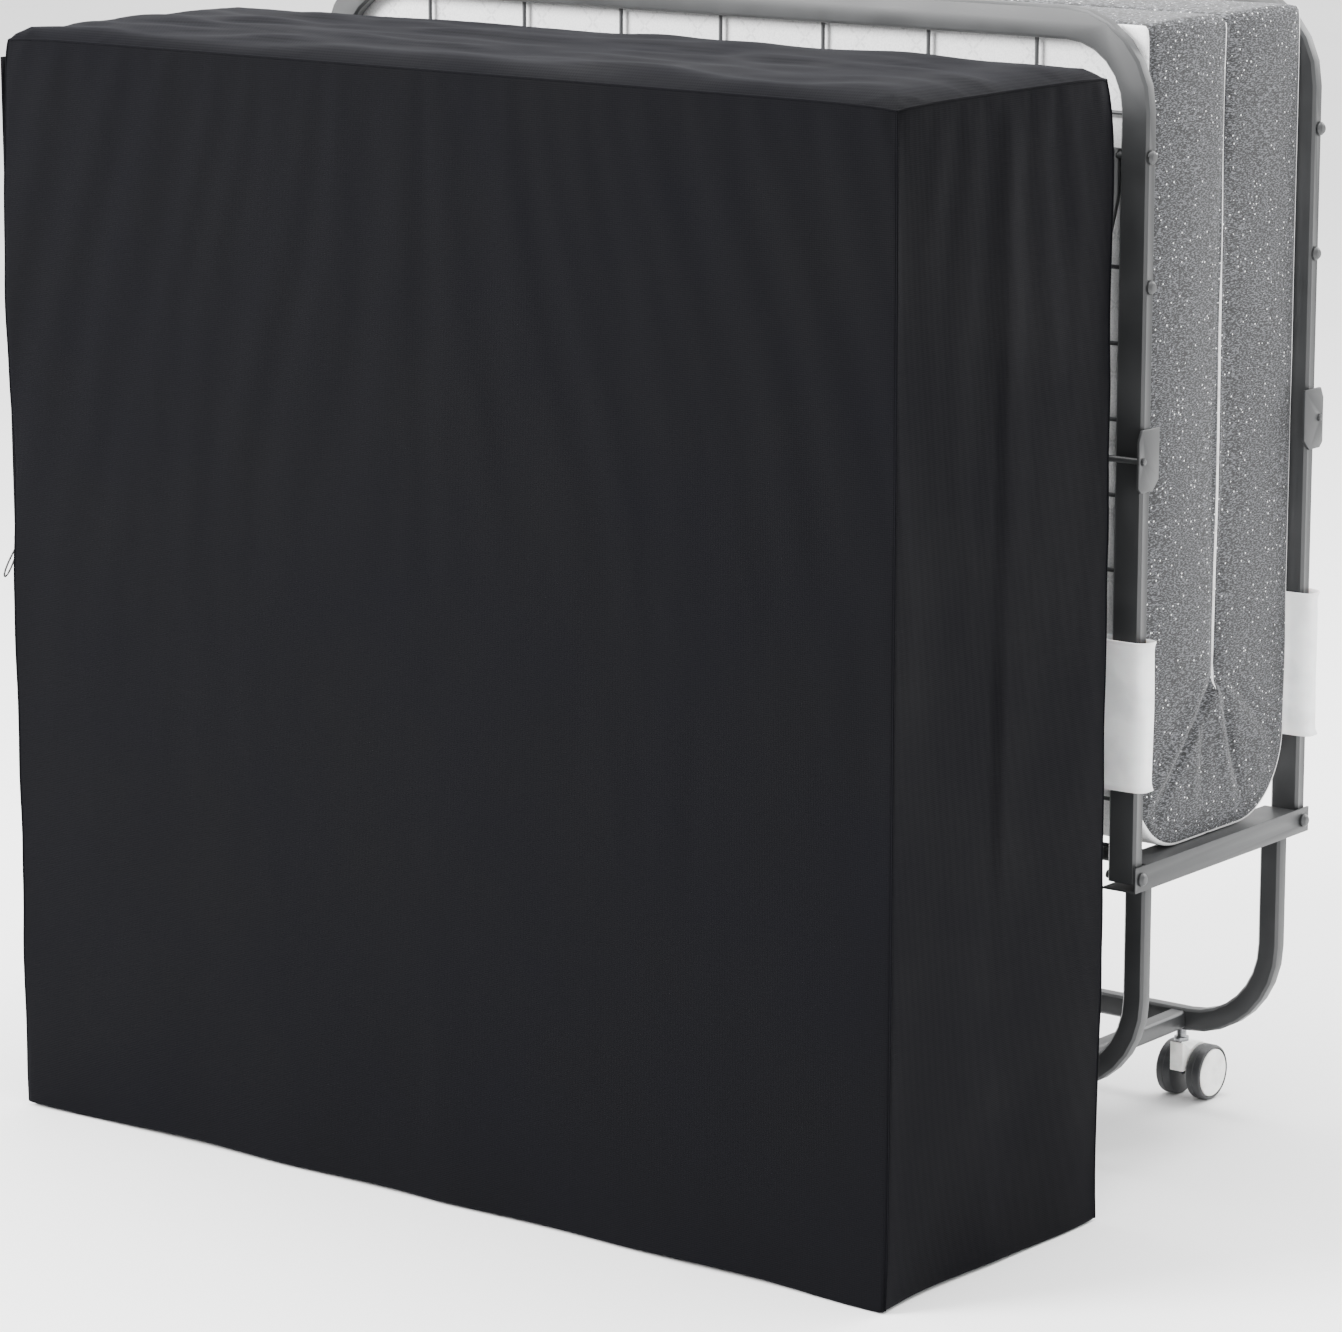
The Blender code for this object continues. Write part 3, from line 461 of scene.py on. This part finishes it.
# Long wires and cross wires inside the box of a deck node; crossAt lists the cross wires' places
def makeDeck(node, flatAxis, longSpacing, crossAt):
    low, high = corners(node)
    runAxis = 3 - flatAxis
    shape = bmesh.new()
    middle = (low[flatAxis] + high[flatAxis]) / 2
    radius = deckWire["radius"]

    def at(x, along):
        place = Vector((x, 0, 0))
        place[flatAxis] = middle
        place[runAxis] = along
        return place

    for x in longSpacing:
        cylinderBetween(shape, at(x, low[runAxis]), at(x, high[runAxis]), radius, deckWire["steps"])
    for along in crossAt:
        cylinderBetween(shape, at(low[0], along), at(high[0], along), radius, deckWire["steps"])
        for x in longSpacing:
            sphereAt(shape, at(x, along), deckWire["weld"])
    piece = addPiece(node + "_wires", shape, wirePaint, nodeBody[node], 40, False)
    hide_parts(node)


deckLayout = {"longPitch": 0.120, "longs": 7, "lowest": 0.070, "first": 0.286, "pitch": 0.070}


def makeDecks():
    look = deckLayout
    longs = [look["longPitch"] * (index - (look["longs"] - 1) / 2) for index in range(look["longs"])]
    for end in ("front", "rear"):
        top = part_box(f"{end}_deck")[1][2]
        heights = [pivotHeight + look["lowest"]]
        height = pivotHeight + look["first"]
        while height < top - 0.03:
            heights.append(height)
            height += look["pitch"]
        makeDeck(f"{end}_deck", 1, longs, heights)
    bars = [sum(corner[1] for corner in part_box(f"{end}_base_bar")) / 2 for end in ("front", "rear")]
    makeDeck("base_deck", 2, longs, bars)


makeDecks()
print("decks finished")

# Casters: twin wheels with domed caps, and a hood between them
wheel = {"steps": 48, "edge": 3.5 * mm, "capGap": 0.6 * mm, "capDome": 2.4 * mm, "rim": 3.2 * mm,
         "groove": 0.5 * mm, "axle": 3.6 * mm}


def makeWheels(name):
    low, high = corners(name + "_wheels")
    centre = (low + high) / 2
    radius = centre.z
    face = (high.x - low.x) / 2
    gapHalf = (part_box(name + "_hood")[1][0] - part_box(name + "_hood")[0][0]) / 2 + 1.2 * mm
    edge, rim = wheel["edge"], wheel["rim"]
    capRadius = radius - rim
    middle = (face + gapHalf) / 2
    for side, title in ((-1, "left"), (1, "right")):
        profile = [
            (capRadius * 0.3, face - 4.0 * mm), (capRadius, face - 4.0 * mm),
            (capRadius + 0.3 * mm, face - 0.8 * mm),
            (capRadius + 1.0 * mm, face), (radius - edge * 0.7, face),
            (radius - edge * 0.2, face - edge * 0.35), (radius, face - edge),
            (radius, middle + 0.6 * mm), (radius - wheel["groove"], middle),
            (radius, middle - 0.6 * mm), (radius, gapHalf + edge),
            (radius - edge * 0.3, gapHalf + edge * 0.3), (radius - edge, gapHalf),
            (capRadius * 0.3, gapHalf), (capRadius * 0.3, face - 4.0 * mm),
        ]
        tyre = turnedShape([(r, side * a) for r, a in profile], centre, (1, 0, 0), wheel["steps"])
        addPiece(f"{name}_{title}_tyre", tyre, rubber, name + "_wheels", 35)
        capEdge = capRadius - wheel["capGap"]
        dome = wheel["capDome"]
        profile = [(0, face - 3.5 * mm), (capEdge, face - 3.5 * mm), (capEdge, face - 1.0 * mm),
                   (capEdge - 0.8 * mm, face - 0.2 * mm)]
        for step in range(1, 6):
            turn = step / 5 * math.pi / 2
            out = face - 0.4 * mm + dome * 0.3 * math.sin(turn)
            profile.append(((capEdge - 1.6 * mm) * math.cos(turn), out))
        profile[-1] = (0, profile[-1][1])
        cap = turnedShape([(r, side * a) for r, a in profile], centre, (1, 0, 0), wheel["steps"])
        addPiece(f"{name}_{title}_cap", cap, nylon, name + "_wheels", 30)
    shape = bmesh.new()
    reach = Vector((face - 4 * mm, 0, 0))
    cylinderBetween(shape, centre - reach, centre + reach, wheel["axle"], 20)
    axle = addPiece(f"{name}_axle", shape, zinc, name + "_wheels", 40)
    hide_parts(name + "_wheels")


for end in ("front", "rear"):
    for side in ("left", "right"):
        makeWheels(f"{end}_{side}_caster")
        refineNode(f"{end}_{side}_caster_hood", nylon, 1.2 * mm, 3, 40)
print("casters finished")

# Mattress: one half of a doubled foam block, from the bottom of the fold to its top end
mattress = {
    "foldRadius": 0.080, "crease": 0.155, "piping": 3 * mm, "bulge": 5.0 * mm, "slit": 3.2 * mm,
    "slitShut": 0.4 * mm, "shutFrom": 0.525, "sides": 26, "rise": 30, "arc": 18, "blendBand": 0.004,
    "folds": (((-0.006, 0.159), (-0.098, 0.053), 6 * mm), ((0.012, 0.147), (0.045, 0.057), 4.5 * mm),
              ((-0.022, 0.137), (-0.020, 0.047), 2.2 * mm), ((0.020, 0.163), (0.098, 0.097), 2.5 * mm)),
}


# (outer point, inner point) in (distance from the middle plane, height) for every row of the pad
def mattressRows(outer, bottom, top):
    radius, crease = mattress["foldRadius"], pivotHeight + mattress["crease"]
    rows = []
    flat = outer - radius
    for step in range(5):
        rows.append(((flat * step / 5, bottom), (0.0, crease - 4 * mm + 0.2 * mm * step)))
    splitRow = None
    half = mattress["arc"] // 2
    for step in range(mattress["arc"] + 1):
        turn = math.pi / 2 * step / mattress["arc"]
        outside = (flat + radius * math.sin(turn), bottom + radius * (1 - math.cos(turn)))
        if step <= half:
            inside = (0.0, crease - 3 * mm + 3 * mm * step / half)
            splitRow = len(rows)
        else:
            share = (step - half) / (mattress["arc"] - half)
            inside = (mattress["slit"] / 2, crease + 0.005 + 0.040 * (share ** 1.5))
        rows.append((outside, inside))
    startZ, innerZ = bottom + radius, crease + 0.045
    for step in range(1, mattress["rise"] + 1):
        share = step / mattress["rise"]
        height = innerZ + (top - innerZ) * share
        shut = min(max((height - pivotHeight - mattress["shutFrom"]) / 0.03, 0), 1)
        slit = mattress["slit"] + (mattress["slitShut"] - mattress["slit"]) * shut
        rows.append(((outer, startZ + (top - startZ) * share), (slit / 2, height)))
    return rows, splitRow


# How far the creases under the slit draw the cloth in at a point on the mattress's side
def foldDepth(away, height):
    depth = 0.0
    for start, end, amount in mattress["folds"]:
        start, end, point = Vector(start), Vector(end), Vector((away, height - pivotHeight))
        along = end - start
        share = (point - start).dot(along) / along.length_squared
        if -0.2 < share < 1.3:
            across = ((point.x - start.x) * along.y - (point.y - start.y) * along.x) / along.length
            reach = math.sin(math.pi * (share + 0.2) / 1.5)
            ridge = 0.55 * math.exp(-((across - 0.014) / 0.011) ** 2)
            depth += amount * reach * (math.exp(-(across / 0.006) ** 2) - ridge)
    return depth


def makeMattress(end, sign):
    top = Vector(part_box(f"{end}_mattress")[1]).z
    foldLow, foldHigh = corners("mattress_fold")
    middleY = (foldLow.y + foldHigh.y) / 2
    outer = (foldHigh.y - foldLow.y) / 2
    halfWidth, bottom = foldHigh.x, foldLow.z
    rows, splitRow = mattressRows(outer, bottom, top)
    wrap = mattress["piping"] / outer
    depths = [0, wrap, wrap * 1.8, 0.07, 0.11]
    depths += [0.11 + 0.83 * step / 17 for step in range(1, 18)] + [0.975, 1]
    places = [-1 + 2 * step / mattress["sides"] for step in range(mattress["sides"] + 1)]
    places[1:1] = [-0.985, -0.96]
    places[-1:-1] = [0.96, 0.985]
    shape = bmesh.new()
    bmesh.ops.create_cube(shape, size=1.0, matrix=Matrix.Translation((0.5, 0.5, 0.5)))
    scale = Vector((len(places) - 1, len(depths) - 1, len(rows) - 1))
    bmesh.ops.scale(shape, vec=scale, verts=shape.verts)
    for axis in range(3):
        for cutAt in range(1, int(scale[axis])):
            point, normal = Vector(), Vector()
            point[axis], normal[axis] = cutAt, 1
            geometry = shape.verts[:] + shape.edges[:] + shape.faces[:]
            bmesh.ops.bisect_plane(shape, geom=geometry, dist=0.0001, plane_co=point, plane_no=normal)
    creases = shape.edges.layers.float.new("crease_edge")
    for face in shape.faces:
        middle = face.calc_center_median()
        onEnd = middle.x < 0.01 or middle.x > scale.x - 0.01
        onTop = middle.z > scale.z - 0.01
        if middle.z < 0.01:
            for edge in face.edges:
                if all(vert.co.x < 0.01 or vert.co.x > scale.x - 0.01 for vert in edge.verts):
                    edge[creases] = 1.0
                    edge.smooth = False
        face.material_index = 1 if (onEnd or onTop) and middle.y > 1 else 0
    for vert in shape.verts:
        column, layer, row = (round(value) for value in vert.co)
        outside, inside = rows[row]
        depth = depths[layer]
        away = outside[0] + (inside[0] - outside[0]) * depth
        height = outside[1] + (inside[1] - outside[1]) * depth
        x = places[column] * halfWidth
        endShare = max(0.0, (abs(places[column]) - 0.94) / 0.06)
        topShare = max(0.0, (row - (len(rows) - 4)) / 3)
        share = min(max((depth - wrap) / (1 - wrap), 0), 1)
        full = math.sin(math.pi * share) ** 0.6 if row > splitRow else min(share * 5, 1)
        swell = mattress["bulge"] * full
        groove = 1.2 * mm if layer == 2 else 0
        edgeIn = 4 * mm * max(1 - depth / 0.05, 0) * (layer > 1)
        if row > splitRow:
            edgeIn += 2.5 * mm * max(1 - (1 - depth) / 0.05, 0)
        ripple = noise.noise(Vector((x * 3, sign * away * 9, height * 9)))
        drawn = foldDepth(sign * away, height) if depth > wrap else 0
        push = endShare * (swell - groove - edgeIn - drawn + ripple * 2.0 * mm)
        x += math.copysign(push, x)
        height += topShare * (swell * 0.6 - groove - edgeIn * 1.2)
        away -= (1 - depth) * 1.0 * mm * (1 + ripple) * (1 if 0 < row else 0)
        vert.co = (x, middleY + sign * away, height)
    pad = addPiece(f"{end}_mattress_pad", shape, [quilt, ticking], None)
    for polygon in pad.data.polygons:
        polygon.use_smooth = True
    subdivide = pad.modifiers.new("softEdges", "SUBSURF")
    subdivide.levels = subdivide.render_levels = 1
    crease = pivotHeight + mattress["crease"]
    outside = rows[splitRow][0]
    downOut = Vector((0, sign * outside[0], outside[1] - crease))
    across = Vector((0, sign * -downOut.z, sign * downOut.y)).normalized()
    across = across if across.z > 0 else -across
    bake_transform(pad)
    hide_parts(f"{end}_mattress")
    return pad


pads = [makeMattress("front", -1), makeMattress("rear", 1)]
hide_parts("front_mattress", "mattress_fold")
print("mattress finished")

# Sleeves: white cloth tubes round the side tubes, flared and hemmed at both ends
sleeve = {"wall": 1.2 * mm, "outward": 8 * mm, "inboard": 21 * mm, "front": 4 * mm, "flare": 2.2 * mm,
          "rows": 28, "around": 40, "square": 0.62}


def makeSleeve(name, sign, side):
    low, high = corners(name)
    middle = (low + high) / 2
    halfX, halfY = (high.x - low.x) / 2, (high.y - low.y) / 2
    shape = bmesh.new()
    rows, around = [], 0.0
    for row in range(sleeve["rows"] + 1):
        share = row / sleeve["rows"]
        z = low.z + (high.z - low.z) * share
        ends = max(0.0, 1 - min(share, 1 - share) / 0.06)
        ring = []
        for step in range(sleeve["around"]):
            turn = math.tau * step / sleeve["around"]
            c, s = math.cos(turn), math.sin(turn)
            squareX = math.copysign(abs(c) ** sleeve["square"], c)
            squareY = math.copysign(abs(s) ** sleeve["square"], s)
            ripple = noise.noise(Vector((c * 1.2 + side * 5, s * 1.2 + sign * 3, z * 14)))
            loose = 1 + 0.25 * ripple
            growX = sleeve["outward"] if squareX * side > 0 else sleeve["inboard"]
            growY = sleeve["front"] if squareY * sign > 0 else 0.6 * mm
            lip = sleeve["flare"] * ends ** 2
            near = 1 if squareX * side > 0 else abs(squareX)
            x = middle.x + squareX * (halfX + (growX * loose + lip) * near)
            y = middle.y + squareY * (halfY + growY * loose + (lip if squareY * sign > 0 else 0))
            ring.append(shape.verts.new((x, y, z)))
        rows.append([shape.edges.new(pair) for pair in zip(ring, ring[1:] + ring[:1])])
        around += sum(edge.calc_length() for edge in rows[-1]) / (sleeve["rows"] + 1)
    for ringLow, ringHigh in zip(rows, rows[1:]):
        bmesh.ops.bridge_loops(shape, edges=ringLow + ringHigh)
    piece = addPiece(name + "_cloth", shape, sleeveCloth, nodeBody[name], 180)
    wall = piece.modifiers.new("wall", "SOLIDIFY")
    wall.thickness, wall.offset = sleeve["wall"], -1
    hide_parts(name)


for end, sign in (("front", -1), ("rear", 1)):
    for title, side in (("left", -1), ("right", 1)):
        makeSleeve(f"{end}_{title}_sleeve", sign, side)
print("sleeves finished")

# Storage cover: a sewn cloth box with welted seams, a hem and a zip
cover = {"across": 10 * mm, "deep": 8.5 * mm, "high": 12 * mm, "edgeCuts": (3, 7, 12, 19), "cloth": 1.2 * mm,
         "hem": 22 * mm, "hemWall": 2.6 * mm, "frames": 10, "cap": 1.2 * mm, "welt": 1.2 * mm,
         "slack": -0.003, "lip": 15 * mm, "roll": 20 * mm, "sag": 8 * mm}


# The sewn box, cut into small squares that are finer beside the seams, open underneath
def coverShell(low, high):
    size = high - low
    shape = bmesh.new()
    blockAt(shape, (low + high) / 2, size)
    under = [face for face in shape.faces if face.normal.z < -0.5]
    bmesh.ops.delete(shape, geom=under, context="FACES_ONLY")
    for axis, pitch in enumerate((cover["across"], cover["deep"], cover["high"])):
        nearEdge = [step * mm for step in cover["edgeCuts"]]
        inner = size[axis] - 2 * nearEdge[-1]
        count = round(inner / pitch)
        cuts = nearEdge + [nearEdge[-1] + inner * index / count for index in range(1, count)]
        cuts += [size[axis] - step for step in reversed(nearEdge)]
        for distance in cuts:
            point, normal = Vector(low), Vector()
            point[axis] += distance
            normal[axis] = 1
            geometry = shape.verts[:] + shape.edges[:] + shape.faces[:]
            bmesh.ops.bisect_plane(shape, geom=geometry, dist=0.0001, plane_co=point, plane_no=normal)
    return shape


# A short hang from the top seam, held to a slight ripple; shapeByHand gives the drape that shows
def hangCloth(piece, low, high):
    rest = [vert.co.copy() for vert in piece.data.vertices]
    pins = piece.vertex_groups.new(name="topSeam")
    for vert in piece.data.vertices:
        near = min(vert.co.x - low.x, high.x - vert.co.x, vert.co.y - low.y, high.y - vert.co.y)
        if vert.co.z > high.z - 0.001 and near < 0.001:
            pins.add([vert.index], 1.0, "REPLACE")
    modifier = piece.modifiers.new("cloth", "CLOTH")
    settings = modifier.settings
    settings.quality = 5
    settings.mass = 0.02
    settings.tension_stiffness = settings.compression_stiffness = 25
    settings.shear_stiffness = 12
    settings.bending_stiffness = 1.5
    settings.air_damping = 2.0
    settings.shrink_min = cover["slack"]
    settings.vertex_group_mass = "topSeam"
    scene = bpy.context.scene
    modifier.point_cache.frame_start = 1
    modifier.point_cache.frame_end = cover["frames"]
    for step in range(1, cover["frames"] + 1):
        scene.frame_set(step)
    settled = piece.evaluated_get(bpy.context.evaluated_depsgraph_get()).to_mesh()
    places = [vert.co.copy() for vert in settled.vertices]
    piece.modifiers.remove(modifier)
    piece.vertex_groups.remove(pins)
    moves = [place - start for start, place in zip(rest, places)]
    for vert, start, move in zip(piece.data.vertices, rest, moves):
        if move.length > cover["cap"]:
            move *= cover["cap"] / move.length
        vert.co = start + move
    scene.frame_set(1)


def fade(distance, reach):
    return math.exp(-max(distance, 0.0) / reach)


def wave(x, y, z, seed=0.0):
    return noise.noise(Vector((x + seed, y - seed, z + 2 * seed)))


# Rolled top edges, a sagging top, puckered seams, soft upright folds and a wavy hem
def shapeByHand(piece, low, high, rest):
    centre = (low + high) / 2
    for vert, start in zip(piece.data.vertices, rest):
        move = Vector()
        across = min(start.x - low.x, high.x - start.x)
        along = min(start.y - low.y, high.y - start.y)
        depth, rise = high.z - start.z, start.z - low.z
        outX = math.copysign(1, start.x - centre.x)
        outY = math.copysign(1, start.y - centre.y)
        onTop, onEnd = depth < 0.0005, across < 0.0005
        runs = start.y if across < along else start.x
        tight = 0.35 + 0.65 * max(fade(across + along, 0.10), 1.0 if across < along else 0.0)
        pucker = math.sin(runs * 290 + 3 * wave(runs * 22, 0, 0)) * (0.6 + wave(runs * 40, 5, 0)) * tight
        corner = fade(across + along + depth, 0.030)
        if onTop:
            inner = min(across, along)
            move.z += cover["lip"] * (1 - fade(inner, cover["roll"]))
            uneven = 0.7 + 0.6 * wave(start.x * 2.2, start.y * 4, 1)
            move.z -= cover["sag"] * (1 - fade(inner, 0.12)) * uneven
            dents = wave(start.x * 4.5 + start.y * 3, start.y * 21 + start.x * 2, 2)
            dents = max(dents, -0.25) + 0.5 * wave(start.x * 11, start.y * 26, 7)
            move.z += dents * 7.0 * mm * (1 - fade(inner, 0.03))
            move.z += pucker * 1.6 * mm * fade(inner, 0.014) * min(inner / 0.004, 1)
        else:
            outward = Vector((outX, 0, 0)) if onEnd else Vector((0, outY, 0))
            column = start.y if onEnd else start.x
            held = 1 - fade(depth, 0.05)
            edge = along if onEnd else across
            folds = wave(column * (8 if onEnd else 2.6), 3 * outX + outY, start.z * 0.8, 3)
            broad = wave(column * 2.1, start.z * 1.6, outX + 2 * outY, 5)
            creases = wave(column * 6 + start.z * 4, start.z * 7 - column * 5, outX * 2 + outY, 8)
            size = folds * (4.0 if onEnd else 1.5) + broad * 3.2 + creases * 1.1
            move += outward * size * mm * held * (0.35 + 0.65 * (1 - fade(edge, 0.05)))
            move += outward * pucker * 1.3 * mm * fade(depth, 0.016) * min(depth / 0.004, 1)
            sway = wave(start.z * 5.5, outX * 3, outY * 5, 4) * 3.2 * mm
            sway += wave(start.z * 16, outX, outY) * 1.0 * mm
            move += Vector((outX * 0.7, outY, 0)) * sway * fade(edge, 0.03) * min(depth / 0.06, 1)
            hem = fade(rise, 0.06)
            move += outward * hem * (wave(column * 5, outX, outY, 6) * 9 * mm - 1 * mm)
            move.z += hem * (0.8 + wave(column * 5, outX * 2, outY * 2, 9) * 1.6) * 3.0 * mm
        move.x -= outX * corner * 5 * mm
        move.y -= outY * corner * 5 * mm
        move.z -= corner * 4 * mm
        vert.co += move


# The vertices that keep accepts, in order, as points of a seam
def seamRun(piece, keep, order):
    chosen = [vert.index for vert in piece.data.vertices if keep(restPlaces[vert.index])]
    return sorted(chosen, key=lambda index: order(restPlaces[index]))


# A rounded seam allowance along each run of vertices
def makeWelt(name, pieceData, runs, radius):
    shape = bmesh.new()
    for run in runs:
        points = [pieceData.vertices[index].co for index in run]
        for start, end in zip(points, points[1:]):
            if (end - start).length > 1e-5:
                cylinderBetween(shape, start, end, radius, 8)
        for point in points:
            sphereAt(shape, point, radius)
    return addPiece(name, shape, cloth, "cover", 60, False)


coverNodes = ["cover_front", "cover_rear", "cover_left", "cover_right", "cover_top"]
boxes = [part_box(node) for node in coverNodes]
coverLow = Vector([min(box[0][axis] for box in boxes) for axis in range(3)])
coverHigh = Vector([max(box[1][axis] for box in boxes) for axis in range(3)])
shell = coverShell(coverLow, coverHigh)
coverPiece = addPiece("cover_cloth", shell, cloth, "cover", 180, False)
restPlaces = [vert.co.copy() for vert in coverPiece.data.vertices]
hangCloth(coverPiece, coverLow, coverHigh)
shapeByHand(coverPiece, coverLow, coverHigh, restPlaces)
rounding = bmesh.new()
rounding.from_mesh(coverPiece.data)
rounding.verts.ensure_lookup_table()
beside = [vert for vert, start in zip(rounding.verts, restPlaces) if sum(
    (start[axis] - coverLow[axis] < 5 * mm and axis < 2) or coverHigh[axis] - start[axis] < 5 * mm
    for axis in range(3)) > 1]
bmesh.ops.smooth_vert(rounding, verts=beside, factor=0.35, use_axis_x=True, use_axis_y=True, use_axis_z=True)
rounding.to_mesh(coverPiece.data)
rounding.free()
print("cover hung")

near = 0.001
topRuns = []
for axis, value in ((1, coverLow.y), (1, coverHigh.y), (0, coverLow.x), (0, coverHigh.x)):
    topRuns.append(seamRun(coverPiece, lambda p: p.z > coverHigh.z - near and abs(p[axis] - value) < near,
                           lambda p: p[1 - axis]))
cornerRuns = []
for x in (coverLow.x, coverHigh.x):
    for y in (coverLow.y, coverHigh.y):
        cornerRuns.append(seamRun(coverPiece, lambda p: abs(p.x - x) < near and abs(p.y - y) < near,
                                  lambda p: p.z))
topWelt = makeWelt("cover_top_seam", coverPiece.data, topRuns, cover["welt"])
sideWelt = makeWelt("cover_side_seams", coverPiece.data, cornerRuns, cover["welt"] * 0.8)

thick = coverPiece.vertex_groups.new(name="hem")
for vert, place in zip(coverPiece.data.vertices, restPlaces):
    thick.add([vert.index], 1.0 if place.z < coverLow.z + cover["hem"] else 0.0, "REPLACE")
wall = coverPiece.modifiers.new("wall", "SOLIDIFY")
wall.thickness, wall.offset = cover["hemWall"], -1
wall.vertex_group = "hem"
wall.thickness_vertex_group = cover["cloth"] / cover["hemWall"]
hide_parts(*coverNodes)
squashed = [coverPiece, topWelt, sideWelt]

# Zip down the left panel, near the front seam
zipper = {"tape": 0.017, "wall": 0.9 * mm, "tooth": (1.4 * mm, 3.0 * mm, 1.1 * mm), "pitch": 2.6 * mm,
          "end": 0.020, "lift": 1.2 * mm, "rows": 60, "slider": (3.4 * mm, 11 * mm, 16 * mm), "pullTilt": 0.5,
          "pullWire": 0.95 * mm, "pullSteps": 28}


# The left face waves a little; tape and teeth follow it
def zipFaceX(y, z):
    ripple = noise.noise(Vector((coverLow.x * 3.1, y * 3.1, z * 0.9 + 4))) * 4 * mm
    return coverLow.x - ripple - zipper["lift"]


def makeZip():
    sliderLow, sliderHigh = corners("zip_slider")
    middleY = (sliderLow.y + sliderHigh.y) / 2
    low, high = coverLow.z + zipper["end"], coverHigh.z - zipper["end"]
    tape = bmesh.new()
    count = zipper["rows"]
    columns = (-0.5, -0.12, 0.12, 0.5)
    rows = []
    for step in range(count + 1):
        z = low + (high - low) * step / count
        x = zipFaceX(middleY, z)
        rows.append([tape.verts.new((x - (0.4 * mm if abs(c) < 0.2 else 0), middleY + c * zipper["tape"], z))
                     for c in columns])
    for first, second in zip(rows, rows[1:]):
        for k in range(len(columns) - 1):
            tape.faces.new((first[k], first[k + 1], second[k + 1], second[k]))
    tapePiece = addPiece("zip_tape", tape, zipTapeCloth, "cover", 60)
    wall = tapePiece.modifiers.new("wall", "SOLIDIFY")
    wall.thickness, wall.offset = zipper["wall"], 0
    teeth = bmesh.new()
    tooth = zipper["tooth"]
    z = low + zipper["pitch"]
    side = 1
    while z < high - zipper["pitch"]:
        place = Vector((zipFaceX(middleY, z) - 1.2 * mm, middleY + side * 0.8 * mm, z))
        blockAt(teeth, place, tooth)
        z += zipper["pitch"] / 2
        side = -side
    teethPiece = addPiece("zip_teeth", teeth, zipMetal, "cover")
    bodyShape = bmesh.new()
    size = zipper["slider"]
    topZ, bodyZ = sliderHigh.z, sliderHigh.z - size[2]
    centre = Vector(((sliderLow.x + sliderHigh.x) / 2 - 0.5 * mm, middleY, (topZ + bodyZ) / 2))
    blockAt(bodyShape, centre, size)
    roundEdges(bodyShape, 1.2 * mm, 3)
    hinge = Vector((sliderLow.x - 0.5 * mm, middleY, bodyZ + 0.006))
    length = bodyZ - sliderLow.z + 0.006
    tilt = Matrix.Rotation(zipper["pullTilt"], 4, "Y")
    ring = []
    for step in range(zipper["pullSteps"]):
        turn = math.tau * step / zipper["pullSteps"]
        widen = 2.2 * mm + 2.6 * mm * (0.5 - 0.5 * math.cos(turn))
        point = Vector((0, math.sin(turn) * widen, -length / 2 + math.cos(turn) * length / 2))
        ring.append(hinge + tilt @ point)
    for first, second in zip(ring, ring[1:] + ring[:1]):
        cylinderBetween(bodyShape, first, second, zipper["pullWire"], 8)
        sphereAt(bodyShape, first, zipper["pullWire"])
    slider = addPiece("zip_pull", bodyShape, zipMetal, "zip_slider", 40, False)
    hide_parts("zip_slider")
    return [tapePiece, teethPiece, slider]


squashed += makeZip()
for piece in squashed:
    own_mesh(piece)
print("cover finished")
